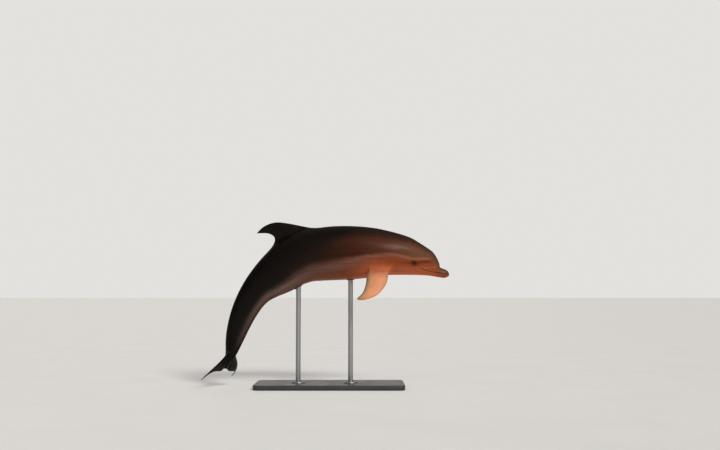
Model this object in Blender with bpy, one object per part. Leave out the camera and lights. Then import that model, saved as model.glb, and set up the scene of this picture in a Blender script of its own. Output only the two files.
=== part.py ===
"""Bottlenose dolphin, life size, leaping, held on a flat display base by two rods.

The animal is one smooth body, modelled from a cage of rings along its bent spine. Its fins grow
out of openings in that cage. Thin cuts then part it into head, jaw, trunk, tail and fins.
Metres, +Z up, beak towards +X. The origin is the centre of the base's underside.
"""

import math

import bmesh
import bpy
import numpy as np
from mathutils import Matrix, Vector

# ---------------------------------------------------------------- driving sizes, metres
LENGTH = 2.70  # beak tip to the notch between the flukes, along the spine
BEAK_TIP = (1.096, 1.04)  # where the beak's tip is: forward of the base's centre, and above the floor
CUT = 0.0006  # width of the cuts that part the body
GAP = 0.0003  # clearance round a fitted piece
EYE_RADIUS = 0.017
EYE_DEPTH = 0.0125  # how far the eyeball's centre lies under the skin
ROD_RADIUS = 0.022
ROD_PLACES = {"front": 0.19, "rear": -0.29}  # along X, either side of the animal's centre of mass
ROD_IN_BODY = 0.06
ROD_IN_BASE = 0.020
BASE = (1.36, 0.60, 0.045)
FLANGE_RADIUS, FLANGE_HEIGHT = 0.065, 0.012

# ---------------------------------------------------------------- the body's lines
# Everything along the body is a share of LENGTH from the beak's tip, and so is every height
# above the spine and every distance to the side. DIP is the spine's slope below level, degrees.
DIP = (
    (0.00, -13), (0.07, -15), (0.13, -16.5), (0.19, -14), (0.26, -8), (0.33, -2), (0.40, 1.5),
    (0.465, 5), (0.50, 13), (0.54, 22), (0.578, 33), (0.616, 40), (0.66, 44), (0.70, 49),
    (0.735, 56.5), (0.775, 62.5), (0.82, 67.5), (0.875, 74), (0.92, 76.5), (0.945, 75), (1.00, 71),
)
TWIST_STARTS, TWIST = 0.78, 25.0  # the tail stock turns about its own length, degrees at the flukes
BACK = (
    (0.00, 0.0035), (0.008, 0.0095), (0.018, 0.0122), (0.031, 0.0132), (0.036, 0.0190), (0.0405, 0.0266),
    (0.046, 0.0350), (0.057, 0.0470), (0.074, 0.0600), (0.092, 0.0668), (0.12, 0.0755), (0.16, 0.0855),
    (0.22, 0.0896), (0.30, 0.0935), (0.37, 0.0942), (0.44, 0.0920), (0.50, 0.0875), (0.56, 0.0785),
    (0.605, 0.0672), (0.66, 0.0580), (0.72, 0.0480), (0.78, 0.0400), (0.85, 0.0318), (0.90, 0.0250),
    (0.935, 0.0155), (0.96, 0.0085), (0.98, 0.0048), (1.00, 0.0030),
)
BELLY = (
    (0.00, -0.0100), (0.008, -0.0158), (0.024, -0.0186), (0.06, -0.0217), (0.085, -0.0266), (0.11, -0.0332),
    (0.17, -0.0497), (0.215, -0.0620), (0.265, -0.0770), (0.32, -0.0860), (0.40, -0.0910), (0.48, -0.0902),
    (0.58, -0.0908), (0.62, -0.0850), (0.66, -0.0725), (0.69, -0.0610), (0.74, -0.0535), (0.80, -0.0470),
    (0.865, -0.0432), (0.90, -0.0372), (0.935, -0.0300), (0.96, -0.0200), (0.98, -0.0120), (1.00, -0.0080),
)
SIDE = (
    (0.00, 0.0060), (0.008, 0.0118), (0.018, 0.0142), (0.031, 0.0168), (0.042, 0.0215), (0.06, 0.0305),
    (0.09, 0.0425), (0.125, 0.0520), (0.17, 0.0630), (0.22, 0.0730), (0.28, 0.0795), (0.34, 0.0822),
    (0.42, 0.0812), (0.50, 0.0750), (0.56, 0.0650), (0.62, 0.0530), (0.68, 0.0408), (0.74, 0.0305),
    (0.80, 0.0228), (0.86, 0.0176), (0.91, 0.0150), (0.95, 0.0140), (0.98, 0.0130), (1.00, 0.0115),
)
# the height at which the body is widest, and how square it is above and below that (2 is an ellipse)
MIDDLE = (
    (0.00, -0.0035), (0.04, -0.0030), (0.08, 0.0010), (0.125, 0.0050), (0.17, 0.0060), (0.25, 0.0040),
    (0.35, 0.0000), (0.50, -0.0020), (0.62, -0.0080), (0.74, -0.0040), (0.90, -0.0055), (0.95, -0.0060),
    (1.00, -0.0030),
)
BACK_ROUNDNESS = (
    (0.00, 2.2), (0.031, 2.4), (0.05, 2.8), (0.08, 2.6), (0.12, 2.3), (0.20, 2.15), (0.40, 2.1),
    (0.60, 1.9), (0.75, 1.7), (0.90, 1.65), (0.96, 1.8), (1.00, 2.0),
)
BELLY_ROUNDNESS = (
    (0.00, 2.2), (0.06, 2.4), (0.12, 2.3), (0.20, 2.2), (0.45, 2.15), (0.60, 1.95), (0.75, 1.7),
    (0.90, 1.65), (0.96, 1.8), (1.00, 2.0),
)
# how much further back the fold in front of the melon lies at the sides than on the ridge
SET_BACK = ((0.00, 0.0), (0.018, 0.003), (0.036, 0.0100), (0.06, 0.0105), (0.09, 0.006), (0.14, 0.0), (1.0, 0.0))
# the mouth's line, from beyond the beak's tip to the corner, then down through the throat
MOUTH = (
    (-0.020, 0.0010), (0.000, -0.0010), (0.015, -0.0030), (0.030, -0.0045), (0.050, -0.0072),
    (0.070, -0.0086), (0.088, -0.0080), (0.100, -0.0055), (0.108, -0.0035), (0.114, -0.0100),
    (0.117, -0.0250), (0.119, -0.0600),
)
EYE = (0.125, 0.0040)  # share along the body, height above the spine

# ---------------------------------------------------------------- the cage
COLUMNS = (0, 14, 42, 69, 90, 111, 134, 157, 180)  # degrees round from the ridge to the keel
RINGS = (
    0.001, 0.010, 0.023, 0.033, 0.0385, 0.046, 0.057, 0.074, 0.096, 0.125, 0.160,
    0.200, 0.225, 0.250, 0.275, 0.315, 0.365, 0.415,
    0.458, 0.488, 0.518, 0.548, 0.578, 0.615, 0.660, 0.710, 0.765, 0.825, 0.885,
    0.927, 0.944, 0.961, 0.978, 0.994,
)
# a fin: its opening (first and last ring, column), then its sections from root to tip, each
# (leading edge, trailing edge, thickness / chord), each edge (share, to the side, above the spine)
DORSAL_FIN = {
    "opening": (0.458, 0.578, 0),
    "sections": (
        ((0.4835, 0, 0.0985), (0.5650, 0, 0.0880), 0.165),
        ((0.5060, 0, 0.1125), (0.5625, 0, 0.0990), 0.150),
        ((0.5290, 0, 0.1295), (0.5650, 0, 0.1100), 0.140),
        ((0.5500, 0, 0.1440), (0.5710, 0, 0.1215), 0.135),
        ((0.5720, 0, 0.1482), (0.5800, 0, 0.1310), 0.140),
        ((0.5880, 0, 0.1440), (0.5890, 0, 0.1385), 0.250),
    ),
}
FLIPPER = {
    "opening": (0.200, 0.275, 134),
    "sections": (
        ((0.2015, 0.0680, -0.0670), (0.2790, 0.0675, -0.0700), 0.220),
        ((0.2030, 0.0830, -0.0890), (0.2795, 0.0815, -0.0900), 0.165),
        ((0.2120, 0.0960, -0.1105), (0.2815, 0.0950, -0.1080), 0.130),
        ((0.2330, 0.1085, -0.1345), (0.2875, 0.1070, -0.1270), 0.115),
        ((0.2660, 0.1165, -0.1500), (0.2970, 0.1155, -0.1390), 0.120),
        ((0.2960, 0.1205, -0.1565), (0.3075, 0.1200, -0.1475), 0.150),
        ((0.3100, 0.1222, -0.1550), (0.3125, 0.1220, -0.1518), 0.400),
    ),
}
FLUKE = {
    "opening": (0.927, 0.994, 90),
    "sections": (
        ((0.9370, 0.0210, -0.0075), (1.0010, 0.0210, -0.0045), 0.175),
        ((0.9500, 0.0340, -0.0080), (1.0030, 0.0340, -0.0050), 0.125),
        ((0.9660, 0.0510, -0.0080), (1.0030, 0.0510, -0.0055), 0.120),
        ((0.9810, 0.0680, -0.0080), (1.0055, 0.0680, -0.0060), 0.120),
        ((0.9970, 0.0850, -0.0080), (1.0110, 0.0850, -0.0070), 0.130),
        ((1.0130, 0.1010, -0.0080), (1.0210, 0.1010, -0.0075), 0.150),
        ((1.0300, 0.1160, -0.0080), (1.0335, 0.1160, -0.0080), 0.250),
    ),
}
# the columns at a flipper's edges draw in towards its middle over the flipper's root
FLIPPER_EDGES = (111, 157)
PINCH = ((0.0, 1.0), (0.16, 1.0), (0.205, 0.60), (0.27, 0.60), (0.32, 1.0), (1.0, 1.0))
FLIPPER_CUT = 0.022  # how far outside the skin each flipper is parted from the body
FIN_EDGE = 0.0016  # half the thickness of a fin's trailing edge near its tip; three times that at its root
# how far each fluke's tip curls up (left, right); the curl starts this far out to the side
FLUKE_CURL = {1: 0.040, -1: 0.006}
CURL_STARTS, CURL_ENDS = 0.045, 0.116
FLUKE_SLEW = 0.07  # the flukes lie a little askew: how much further back, for each share to the right


def smooth(knots, at):
    """The value at a share, on a smooth curve through (share, value) knots that never overshoots them."""
    x, y = np.array(knots, float).T
    step = np.diff(x)
    rise = np.diff(y) / step
    slope = np.concatenate([[rise[0]], np.zeros(len(x) - 2), [rise[-1]]])
    for k in range(1, len(x) - 1):
        if rise[k - 1] * rise[k] > 0:
            before, after = 2 * step[k] + step[k - 1], step[k] + 2 * step[k - 1]
            slope[k] = (before + after) / (before / rise[k - 1] + after / rise[k])
    at = min(max(at, x[0]), x[-1])
    k = int(np.clip(np.searchsorted(x, at) - 1, 0, len(step) - 1))
    t = (at - x[k]) / step[k]
    return (
        (1 + 2 * t) * (1 - t) ** 2 * y[k]
        + t * (1 - t) ** 2 * step[k] * slope[k]
        + t * t * (3 - 2 * t) * y[k + 1]
        + t * t * (t - 1) * step[k] * slope[k + 1]
    )


SPINE_STEPS = 1000
SPINE_REACH = 1.10  # the flukes' tips lie behind the notch


def walk_spine():
    """Places along the spine, a thousand to the body's length, found by adding up its dip."""
    places = [Vector((BEAK_TIP[0], 0, BEAK_TIP[1]))]
    for k in range(int(SPINE_STEPS * SPINE_REACH)):
        dip = math.radians(smooth(DIP, (k + 0.5) / SPINE_STEPS))
        places.append(places[-1] - Vector((math.cos(dip), 0, math.sin(dip))) * LENGTH / SPINE_STEPS)
    return places


SPINE = walk_spine()


def frame_at(share):
    """(place on the spine, tailward, leftward, upward), the last three being unit directions."""
    steps = min(max(share, 0.0) * SPINE_STEPS, len(SPINE) - 1.001)
    k = int(steps)
    place = SPINE[k].lerp(SPINE[k + 1], steps - k)
    dip = math.radians(smooth(DIP, share))
    tailward = Vector((-math.cos(dip), 0, -math.sin(dip)))
    turn = min(max((share - TWIST_STARTS) / (0.95 - TWIST_STARTS), 0), 1)
    turned = Matrix.Rotation(math.radians(TWIST) * turn * turn * (3 - 2 * turn), 3, tailward)
    upward = turned @ Vector((-math.sin(dip), 0, math.cos(dip)))
    return place, tailward, turned @ Vector((0, 1, 0)), upward


def body_point(share, left, up):
    """A point of the bent body from its straight-body coordinates, all three as shares of LENGTH."""
    place, tailward, leftward, upward = frame_at(share)
    ahead = tailward * min(share, 0) * LENGTH
    return place + ahead + (leftward * left + upward * up) * LENGTH


def skin_point(share, angle):
    """The straight-body point of the skin on a ring, at an angle round from the ridge (left is plus)."""
    turn = math.radians(abs(angle))
    behind = share + smooth(SET_BACK, share) * math.sin(turn) ** 2
    middle = smooth(MIDDLE, behind)
    if turn <= math.pi / 2:
        edge, power = smooth(BACK, share), 2 / smooth(BACK_ROUNDNESS, behind)
    else:
        edge, power = smooth(BELLY, behind), 2 / smooth(BELLY_ROUNDNESS, behind)
    left = smooth(SIDE, behind) * abs(math.sin(turn)) ** power
    up = middle + (edge - middle) * abs(math.cos(turn)) ** power
    return behind, math.copysign(left, angle), up


ANGLES = COLUMNS + tuple(-angle for angle in COLUMNS[-2:0:-1])  # all the way round, through the left side
AROUND = len(ANGLES)


def pinched(share, angle):
    """A column's angle on one ring: either side of a flipper's column, it draws in to the flipper's root."""
    if abs(angle) not in FLIPPER_EDGES:
        return angle
    middle = math.copysign(FLIPPER["opening"][2], angle)
    return middle + (angle - middle) * smooth(PINCH, share)


class Cage:
    """The points that the smooth skin must pass through, and the faces between them."""

    def __init__(self):
        self.points = []
        self.faces = []
        self.ends = set()  # the points of the closed ends, where the surface may pass a little inside

    def add(self, point):
        self.points.append(Vector(point))
        return len(self.points) - 1

    def bridge(self, loop, next_loop):
        for k in range(len(loop)):
            after = (k + 1) % len(loop)
            self.faces.append((loop[k], loop[after], next_loop[after], next_loop[k]))

    def cap(self, ring, bulge):
        """Closes a ring of sixteen with a grid four faces square, pushed out by bulge at its middle."""
        self.ends |= set(ring)
        top = [ring[(2 - k) % AROUND] for k in range(5)]
        bottom = [ring[6 + k] for k in range(5)]
        left = [ring[2 + k] for k in range(5)]
        right = [ring[(-2 - k) % AROUND] for k in range(5)]
        rows = [top]
        for row in (1, 2, 3):
            line = [left[row]]
            for column in (1, 2, 3):
                down = self.points[top[column]].lerp(self.points[bottom[column]], row / 4)
                across = self.points[left[row]].lerp(self.points[right[row]], column / 4)
                rise = 1 - 0.28 * ((column - 2) ** 2 + (row - 2) ** 2)
                line.append(self.add((down + across) / 2 + bulge * rise))
                self.ends.add(line[-1])
            rows.append(line + [right[row]])
        rows.append(bottom)
        for upper, lower in zip(rows, rows[1:]):
            for k in range(4):
                self.faces.append((upper[k], upper[k + 1], lower[k + 1], lower[k]))


def section_points(lead, trail, thickness, edge, across, stations):
    """One fin section: leading edge, one side, trailing edge and back up the other side."""
    chord = trail - lead
    one, other = [], []
    for k in range(stations):
        at = (1 - math.cos(math.pi * (k + 0.5) / stations)) / 2
        half = 5 * thickness * chord.length * (
            0.2969 * math.sqrt(at) - 0.1260 * at - 0.3516 * at**2 + 0.2843 * at**3 - 0.1036 * at**4
        )
        half += edge * at
        one.append(lead + chord * at + across * half)
        other.append(lead + chord * at - across * half)
    return [lead] + one + [trail] + other[::-1]


def grow_fin(cage, rings, fin, side):
    """Grows a fin out of its opening; side is 1 for the left, -1 for the right. Returns the open faces."""
    first, last, angle = fin["opening"]
    first, last = RINGS.index(first), RINGS.index(last)
    column = ANGLES.index(angle) * side % AROUND
    one = [rings[k][(column + 1) % AROUND] for k in range(first, last + 1)]
    other = [rings[k][(column - 1) % AROUND] for k in range(first, last + 1)]
    loop = [rings[first][column]] + one + [rings[last][column]] + other[::-1]
    edges = []
    for lead, trail, thickness in fin["sections"]:
        out = max(lead[1] - CURL_STARTS, 0) / (CURL_ENDS - CURL_STARTS)
        curl = FLUKE_CURL[side] * out * out if fin is FLUKE else 0
        slew = -FLUKE_SLEW * lead[1] * side if fin is FLUKE else 0
        lead = body_point(lead[0] + slew, lead[1] * side, lead[2] + curl)
        trail = body_point(trail[0] + slew, trail[1] * side, trail[2] + curl)
        edges.append((lead, trail, thickness))
    middle = len(one) // 2
    towards_one = cage.points[one[middle]] - cage.points[other[middle]]
    root = (cage.points[loop[0]] + cage.points[loop[len(one) + 1]]) / 2
    centres = [root] + [(lead + trail) / 2 for lead, trail, thickness in edges]
    for k, (lead, trail, thickness) in enumerate(edges):
        span = centres[min(k + 2, len(centres) - 1)] - centres[k]
        across = (trail - lead).cross(span).normalized()
        if across.dot(towards_one) < 0:
            across.negate()
        edge = FIN_EDGE * (1 + 2 * 0.5**k)
        section = [cage.add(p) for p in section_points(lead, trail, thickness, edge, across, len(one))]
        cage.bridge(loop, section)
        loop = section
    near, far = loop[1 : len(one) + 1], loop[: len(one) + 1 : -1]
    cage.faces.append((loop[0], near[0], far[0]))
    cage.faces.append((near[-1], loop[len(one) + 1], far[-1]))
    for k in range(len(one) - 1):
        cage.faces.append((near[k], near[k + 1], far[k + 1], far[k]))
    open_columns = {(column - 1) % AROUND, column}
    return {(ring, column) for ring in range(first, last) for column in open_columns}


def make_cage():
    """The whole animal's cage: rings from beak to notch, a cap at each end, and five fins."""
    cage = Cage()
    rings = []
    for share in RINGS:
        points = [skin_point(share, pinched(share, angle)) for angle in ANGLES]
        rings.append([cage.add(body_point(*point)) for point in points])
    cage.cap(rings[0], body_point(-0.0030, 0, 0) - body_point(0.001, 0, 0))
    cage.cap(rings[-1], body_point(0.9945, 0, 0) - body_point(0.994, 0, 0))
    opened = grow_fin(cage, rings, DORSAL_FIN, 1)
    for side in (1, -1):
        opened |= grow_fin(cage, rings, FLIPPER, side)
        opened |= grow_fin(cage, rings, FLUKE, side)
    for ring in range(len(rings) - 1):
        for column in range(AROUND):
            if (ring, column) not in opened:
                after = (column + 1) % AROUND
                upper, lower = rings[ring], rings[ring + 1]
                cage.faces.append((upper[column], upper[after], lower[after], lower[column]))
    return cage


def new_object(name, mesh):
    thing = bpy.data.objects.new(name, mesh)
    bpy.context.collection.objects.link(thing)
    return thing


def evaluated_mesh(thing):
    """The mesh of an object with its modifiers applied."""
    graph = bpy.context.evaluated_depsgraph_get()
    return bpy.data.meshes.new_from_object(thing.evaluated_get(graph), depsgraph=graph)


def mesh_of(bm, name):
    mesh = bpy.data.meshes.new(name)
    bm.normal_update()
    bmesh.ops.recalc_face_normals(bm, faces=bm.faces)
    bm.to_mesh(mesh)
    bm.free()
    return mesh


def make_body():
    """The animal as one closed object: the cage moved until its smooth surface meets every point."""
    cage = make_cage()
    used = sorted({k for face in cage.faces for k in face})  # a fin's opening leaves some points out
    bm = bmesh.new()
    corners = {k: bm.verts.new(cage.points[k]) for k in used}
    for face in cage.faces:
        bm.faces.new([corners[k] for k in face])
    body = new_object("body", mesh_of(bm, "body"))
    subdivision = body.modifiers.new("skin", "SUBSURF")
    subdivision.levels = subdivision.render_levels = 1
    subdivision.use_limit_surface = True
    subdivision.boundary_smooth = "PRESERVE_CORNERS"
    for _ in range(5):
        smooth_mesh = evaluated_mesh(body)
        for k, vertex, moved in zip(used, body.data.vertices, smooth_mesh.vertices):
            if k not in cage.ends:
                vertex.co += 0.9 * (cage.points[k] - moved.co)
        body.data.update()
        bpy.data.meshes.remove(smooth_mesh)
    return body


# ---------------------------------------------------------------- cutters
def as_cutter(name, bm):
    cutter = new_object(name, mesh_of(bm, name))
    cutter.hide_render = True
    cutter.display_type = "WIRE"
    return cutter


def slab(name, centre, normal, along, half_along, half_across):
    """A thin plate that cuts straight through: centre, the plate's normal, and its two half sizes."""
    normal = normal.normalized()
    along = (along - normal * along.dot(normal)).normalized()
    across = normal.cross(along)
    turn = Matrix((along * half_along * 2, across * half_across * 2, normal * CUT)).transposed().to_4x4()
    bm = bmesh.new()
    bmesh.ops.create_cube(bm, size=1, matrix=Matrix.Translation(centre) @ turn)
    return as_cutter(name, bm)


def ribbon(name, line, half_width):
    """A thin sheet that follows a line of (share, height) and reaches half_width to each side."""
    places = [body_point(share, 0, up) for share, up in line]
    bm = bmesh.new()
    sections = []
    for k, place in enumerate(places):
        before = (place - places[k - 1]).normalized() if k else (places[1] - place).normalized()
        after = (places[k + 1] - place).normalized() if k < len(places) - 1 else before
        bisector = (before + after).normalized()
        normal = Vector((0, 1, 0)).cross(bisector)
        thick = CUT / 2 / max(bisector.dot(after), 0.3)
        corners = ((-half_width, -thick), (half_width, -thick), (half_width, thick), (-half_width, thick))
        sections.append([bm.verts.new(place + Vector((0, y, 0)) + normal * n) for y, n in corners])
    for one, two in zip(sections, sections[1:]):
        for k in range(4):
            bm.faces.new((one[k], one[(k + 1) % 4], two[(k + 1) % 4], two[k]))
    bm.faces.new(sections[0])
    bm.faces.new(sections[-1])
    return as_cutter(name, bm)


def cross_cut(name, share, half_height, half_width):
    """A straight cut across the body at a share of its length."""
    place, tailward, leftward, upward = frame_at(share)
    return slab(name, place, tailward, upward, half_height * LENGTH, half_width * LENGTH)


def make_cuts():
    """Every cut that parts the animal."""
    cuts = [
        ribbon("cut_mouth", [(share, smooth_mouth(share)) for share in mouth_shares()] + THROAT, 0.25),
        cross_cut("cut_neck", 0.178, 0.11, 0.10),
        cross_cut("cut_trunk", 0.425, 0.11, 0.12),
        cross_cut("cut_loin", 0.600, 0.10, 0.10),
        cross_cut("cut_tail", 0.775, 0.07, 0.06),
    ]
    for side, word in ((1, "left"), (-1, "right")):
        front, rear, above, below = (
            body_point(*skin_point(share, angle * side))
            for share, angle in ((0.200, 134), (0.280, 134), (0.240, 124), (0.240, 144))
        )
        outward = (rear - front).cross(below - above).normalized()
        if outward.z > 0:
            outward.negate()
        root = (front + rear + above + below) / 4 + outward * FLIPPER_CUT
        cuts.append(slab("cut_flipper_" + word, root, outward, rear - front, 0.16, 0.075))
        place, tailward, leftward, upward = frame_at(0.965)
        root = body_point(0.967, 0.0215 * side, -0.005)
        cuts.append(slab("cut_fluke_" + word, root, leftward, tailward, 0.18, 0.045))
    cuts.append(ribbon("cut_dorsal_fin", dorsal_fin_line(), 0.10))
    return cuts


THROAT = list(MOUTH[-3:])


def mouth_shares():
    first, last = MOUTH[0][0], MOUTH[-4][0]
    return [first + (last - first) * k / 18 for k in range(19)]


def smooth_mouth(share):
    return smooth(MOUTH[:-3], share)


def dorsal_fin_line():
    """A line just above the back, under the dorsal fin."""
    shares = [0.445 + 0.149 * k / 11 for k in range(12)]
    return [(share, smooth(BACK, share) + 0.0044) for share in shares]


# ---------------------------------------------------------------- finishes
# colour (linear red, green, blue), roughness, metallic
FINISHES = {
    "dark_skin": ((0.020, 0.019, 0.022), 0.35, 0.0),
    "grey_skin": ((0.075, 0.062, 0.060), 0.38, 0.0),
    "pale_skin": ((0.200, 0.145, 0.130), 0.42, 0.0),
    "eye": ((0.008, 0.007, 0.007), 0.06, 0.0),
    "painted_wood": ((0.045, 0.046, 0.050), 0.45, 0.0),
    "brushed_steel": ((0.560, 0.560, 0.570), 0.30, 1.0),
}


def finish(thing, name):
    """Gives an object its own material."""
    colour, roughness, metallic = FINISHES[name]
    material = bpy.data.materials.new(thing.name)
    material.use_nodes = True
    shader = material.node_tree.nodes["Principled BSDF"]
    shader.inputs["Base Color"].default_value = (*colour, 1)
    shader.inputs["Roughness"].default_value = roughness
    shader.inputs["Metallic"].default_value = metallic
    thing.data.materials.clear()
    thing.data.materials.append(material)
    thing.data.shade_smooth()
    thing.data.set_sharp_from_angle(angle=math.radians(35))


# each piece of the animal: a place near its middle (share, to the side, above the spine) and its finish
PIECES = {
    "head": ((0.110, 0, 0.025), "grey_skin"),
    "lower_jaw": ((0.075, 0, -0.015), "pale_skin"),
    "thorax": ((0.300, 0, 0.000), "grey_skin"),
    "abdomen": ((0.510, 0, 0.000), "grey_skin"),
    "tail_stock_front": ((0.680, 0, -0.008), "dark_skin"),
    "tail_stock_rear": ((0.860, 0, -0.005), "dark_skin"),
    "dorsal_fin": ((0.545, 0, 0.115), "dark_skin"),
    "flipper_left": ((0.250, 0.092, -0.100), "pale_skin"),
    "flipper_right": ((0.250, -0.092, -0.100), "pale_skin"),
    "fluke_left": ((0.985, 0.055, -0.003), "dark_skin"),
    "fluke_right": ((0.985, -0.055, -0.003), "dark_skin"),
}


def cut_out(thing, cutters):
    """Takes all the cutters' shapes out of a thing at once, for good."""
    together = bpy.data.collections.new("cutters")
    for cutter in cutters:
        together.objects.link(cutter)
    boolean = thing.modifiers.new("cut", "BOOLEAN")
    boolean.operation = "DIFFERENCE"
    boolean.solver = "EXACT"
    boolean.operand_type = "COLLECTION"
    boolean.collection = together
    mesh = evaluated_mesh(thing)
    thing.modifiers.clear()
    thing.data = mesh
    for cutter in cutters:
        bpy.data.objects.remove(cutter)
    bpy.data.collections.remove(together)


def part_pieces(body):
    """Parts the cut body into one object for each island, named by the place its middle is nearest to."""
    bm = bmesh.new()
    bm.from_mesh(body.data)
    waiting = set(bm.verts)
    pieces = []
    while waiting:
        island, edge = set(), [waiting.pop()]
        while edge:
            vertex = edge.pop()
            island.add(vertex)
            for joined in (e.other_vert(vertex) for e in vertex.link_edges):
                if joined in waiting:
                    waiting.discard(joined)
                    edge.append(joined)
        part = bmesh.new()
        copies = {vertex: part.verts.new(vertex.co) for vertex in bm.verts if vertex in island}
        for face in bm.faces:
            if face.verts[0] in island:
                part.faces.new([copies[vertex] for vertex in face.verts])
        low = Vector([min(v.co[k] for v in island) for k in range(3)])
        high = Vector([max(v.co[k] for v in island) for k in range(3)])
        pieces.append(((low + high) / 2, part))
    bm.free()
    bpy.data.objects.remove(body)
    made = {}
    for middle, part in pieces:
        name = min(PIECES, key=lambda n: (body_point(*PIECES[n][0]) - middle).length)
        made[name] = new_object(name, mesh_of(part, name))
        finish(made[name], PIECES[name][1])
    return made


# ---------------------------------------------------------------- eyes
def eye_place(side):
    """The centre of an eyeball, a little under the skin, and the way it looks out."""
    share, height = EYE
    low, high = 45.0, 135.0
    for _ in range(30):
        angle = (low + high) / 2
        if skin_point(share, angle)[2] > height:
            low = angle
        else:
            high = angle
    behind, left, up = skin_point(share, low)
    here = body_point(behind, left * side, up)
    ahead = body_point(*[c * s for c, s in zip(skin_point(share - 0.004, low), (1, side, 1))])
    above = body_point(*[c * s for c, s in zip(skin_point(share, low - 3), (1, side, 1))])
    outward = (ahead - here).cross(above - here).normalized()
    if outward.y * side < 0:
        outward.negate()
    return here - outward * EYE_DEPTH, outward


def ball(name, centre, axis, radius):
    bm = bmesh.new()
    bmesh.ops.create_uvsphere(bm, u_segments=12, v_segments=8, radius=radius)
    turn = axis.to_track_quat("Z", "Y").to_matrix().to_4x4()
    bm.transform(Matrix.Translation(centre) @ turn)
    return new_object(name, mesh_of(bm, name))


def make_eyes(head):
    """Two dark eyeballs, each in its own socket."""
    sockets = []
    for side, word in ((1, "left"), (-1, "right")):
        centre, outward = eye_place(side)
        sockets.append(ball("socket_" + word, centre, outward, EYE_RADIUS + GAP))
        finish(ball("eye_" + word, centre, outward, EYE_RADIUS), "eye")
    cut_out(head, sockets)


# ---------------------------------------------------------------- stand
def cylinder(name, radius, low, high, x, sides=24, bevel=0.0):
    """An upright cylinder at x, from one height to another."""
    bm = bmesh.new()
    place = Matrix.Translation((x, 0, (low + high) / 2))
    bmesh.ops.create_cone(
        bm, cap_ends=True, segments=sides, radius1=radius, radius2=radius, depth=high - low, matrix=place
    )
    if bevel:
        rim = [e for e in bm.edges if all(abs(v.co.z - high) < 1e-6 for v in e.verts)]
        bmesh.ops.bevel(bm, geom=rim, offset=bevel, segments=1, affect="EDGES", profile=0.5)
    return new_object(name, mesh_of(bm, name))


def rod_top(pieces, x):
    """The height at which a rod's top ends, so far above the belly's skin at its axis."""
    heights = []
    for name in ("thorax", "abdomen", "tail_stock_front"):
        hit, place, normal, face = pieces[name].ray_cast(Vector((x, 0, 0)), Vector((0, 0, 1)))
        if hit:
            heights.append(place.z)
    return min(heights) + ROD_IN_BODY


def make_stand(pieces):
    """A flat base, and two rods up into the belly, each with a flange where it leaves the base."""
    length, width, height = BASE
    bm = bmesh.new()
    bmesh.ops.create_cube(bm, size=1, matrix=Matrix.Translation((0, 0, height / 2)) @ Matrix.Diagonal((*BASE, 1)))
    upright = [e for e in bm.edges if abs(e.verts[0].co.z - e.verts[1].co.z) > height / 2]
    bmesh.ops.bevel(bm, geom=upright, offset=0.06, segments=5, affect="EDGES", profile=0.5)
    rim = [e for e in bm.edges if all(abs(v.co.z - height) < 1e-6 for v in e.verts)]
    bmesh.ops.bevel(bm, geom=rim, offset=0.005, segments=1, affect="EDGES", profile=0.5)
    base = new_object("stand_base", mesh_of(bm, "stand_base"))
    holes, sockets = [], []
    for word, x in ROD_PLACES.items():
        top = rod_top(pieces, x)
        foot = height - ROD_IN_BASE
        rod = cylinder("stand_rod_" + word, ROD_RADIUS, foot + GAP, top, x)
        holes.append(cylinder("hole_" + word, ROD_RADIUS + GAP, foot, height + 0.1, x))
        sockets.append(cylinder("socket_" + word, ROD_RADIUS + GAP, height + 0.2, top + GAP, x))
        low = height + GAP
        flange = cylinder("stand_flange_" + word, FLANGE_RADIUS, low, low + FLANGE_HEIGHT, x, 24, 0.002)
        cut_out(flange, [cylinder("bore", ROD_RADIUS + GAP, 0, 0.2, x)])
        finish(rod, "brushed_steel")
        finish(flange, "brushed_steel")
    cut_out(base, holes)
    finish(base, "painted_wood")
    return sockets


# ---------------------------------------------------------------- the model
for thing in list(bpy.data.objects):
    bpy.data.objects.remove(thing)

animal = make_body()
cut_out(animal, make_cuts())
pieces = part_pieces(animal)
sockets = make_stand(pieces)
cut_out(pieces["thorax"], sockets[:1])
cut_out(pieces["abdomen"], sockets[1:])
make_eyes(pieces["head"])
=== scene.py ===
import math

import bmesh
import bpy
import numpy as np
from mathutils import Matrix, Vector


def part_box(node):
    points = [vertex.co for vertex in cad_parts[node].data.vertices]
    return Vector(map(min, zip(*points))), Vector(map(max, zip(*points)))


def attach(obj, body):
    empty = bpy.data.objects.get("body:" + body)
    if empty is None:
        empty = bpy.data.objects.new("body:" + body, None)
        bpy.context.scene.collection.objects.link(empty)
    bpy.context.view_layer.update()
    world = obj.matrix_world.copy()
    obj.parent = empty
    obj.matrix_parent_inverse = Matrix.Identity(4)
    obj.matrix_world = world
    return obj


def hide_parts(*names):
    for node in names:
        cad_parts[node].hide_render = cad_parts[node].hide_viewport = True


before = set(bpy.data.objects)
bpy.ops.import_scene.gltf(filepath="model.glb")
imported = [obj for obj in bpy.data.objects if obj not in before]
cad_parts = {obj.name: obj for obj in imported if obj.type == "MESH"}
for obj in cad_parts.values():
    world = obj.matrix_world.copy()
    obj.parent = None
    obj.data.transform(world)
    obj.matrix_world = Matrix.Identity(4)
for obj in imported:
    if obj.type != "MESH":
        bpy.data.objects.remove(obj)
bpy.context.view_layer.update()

# ---------------------------------------------------------------- where the viewer stands
# The leap is seen square from the animal's right side, from nine metres off and a little
# below its back, with the stand's foot in view and some room all round.
def placed(name, data):
    """A new object in the scene."""
    thing = bpy.data.objects.new(name, data)
    bpy.context.collection.objects.link(thing)
    return thing


viewer = placed("viewer", bpy.data.cameras.new("viewer"))
viewer.location = (0.277, -9.0, 0.855)
viewer.rotation_euler = (math.radians(94.05), 0, 0)
viewer.data.sensor_width = 36.0
viewer.data.lens = 48.7
viewer.data.clip_end = 300
bpy.context.scene.camera = viewer

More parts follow.
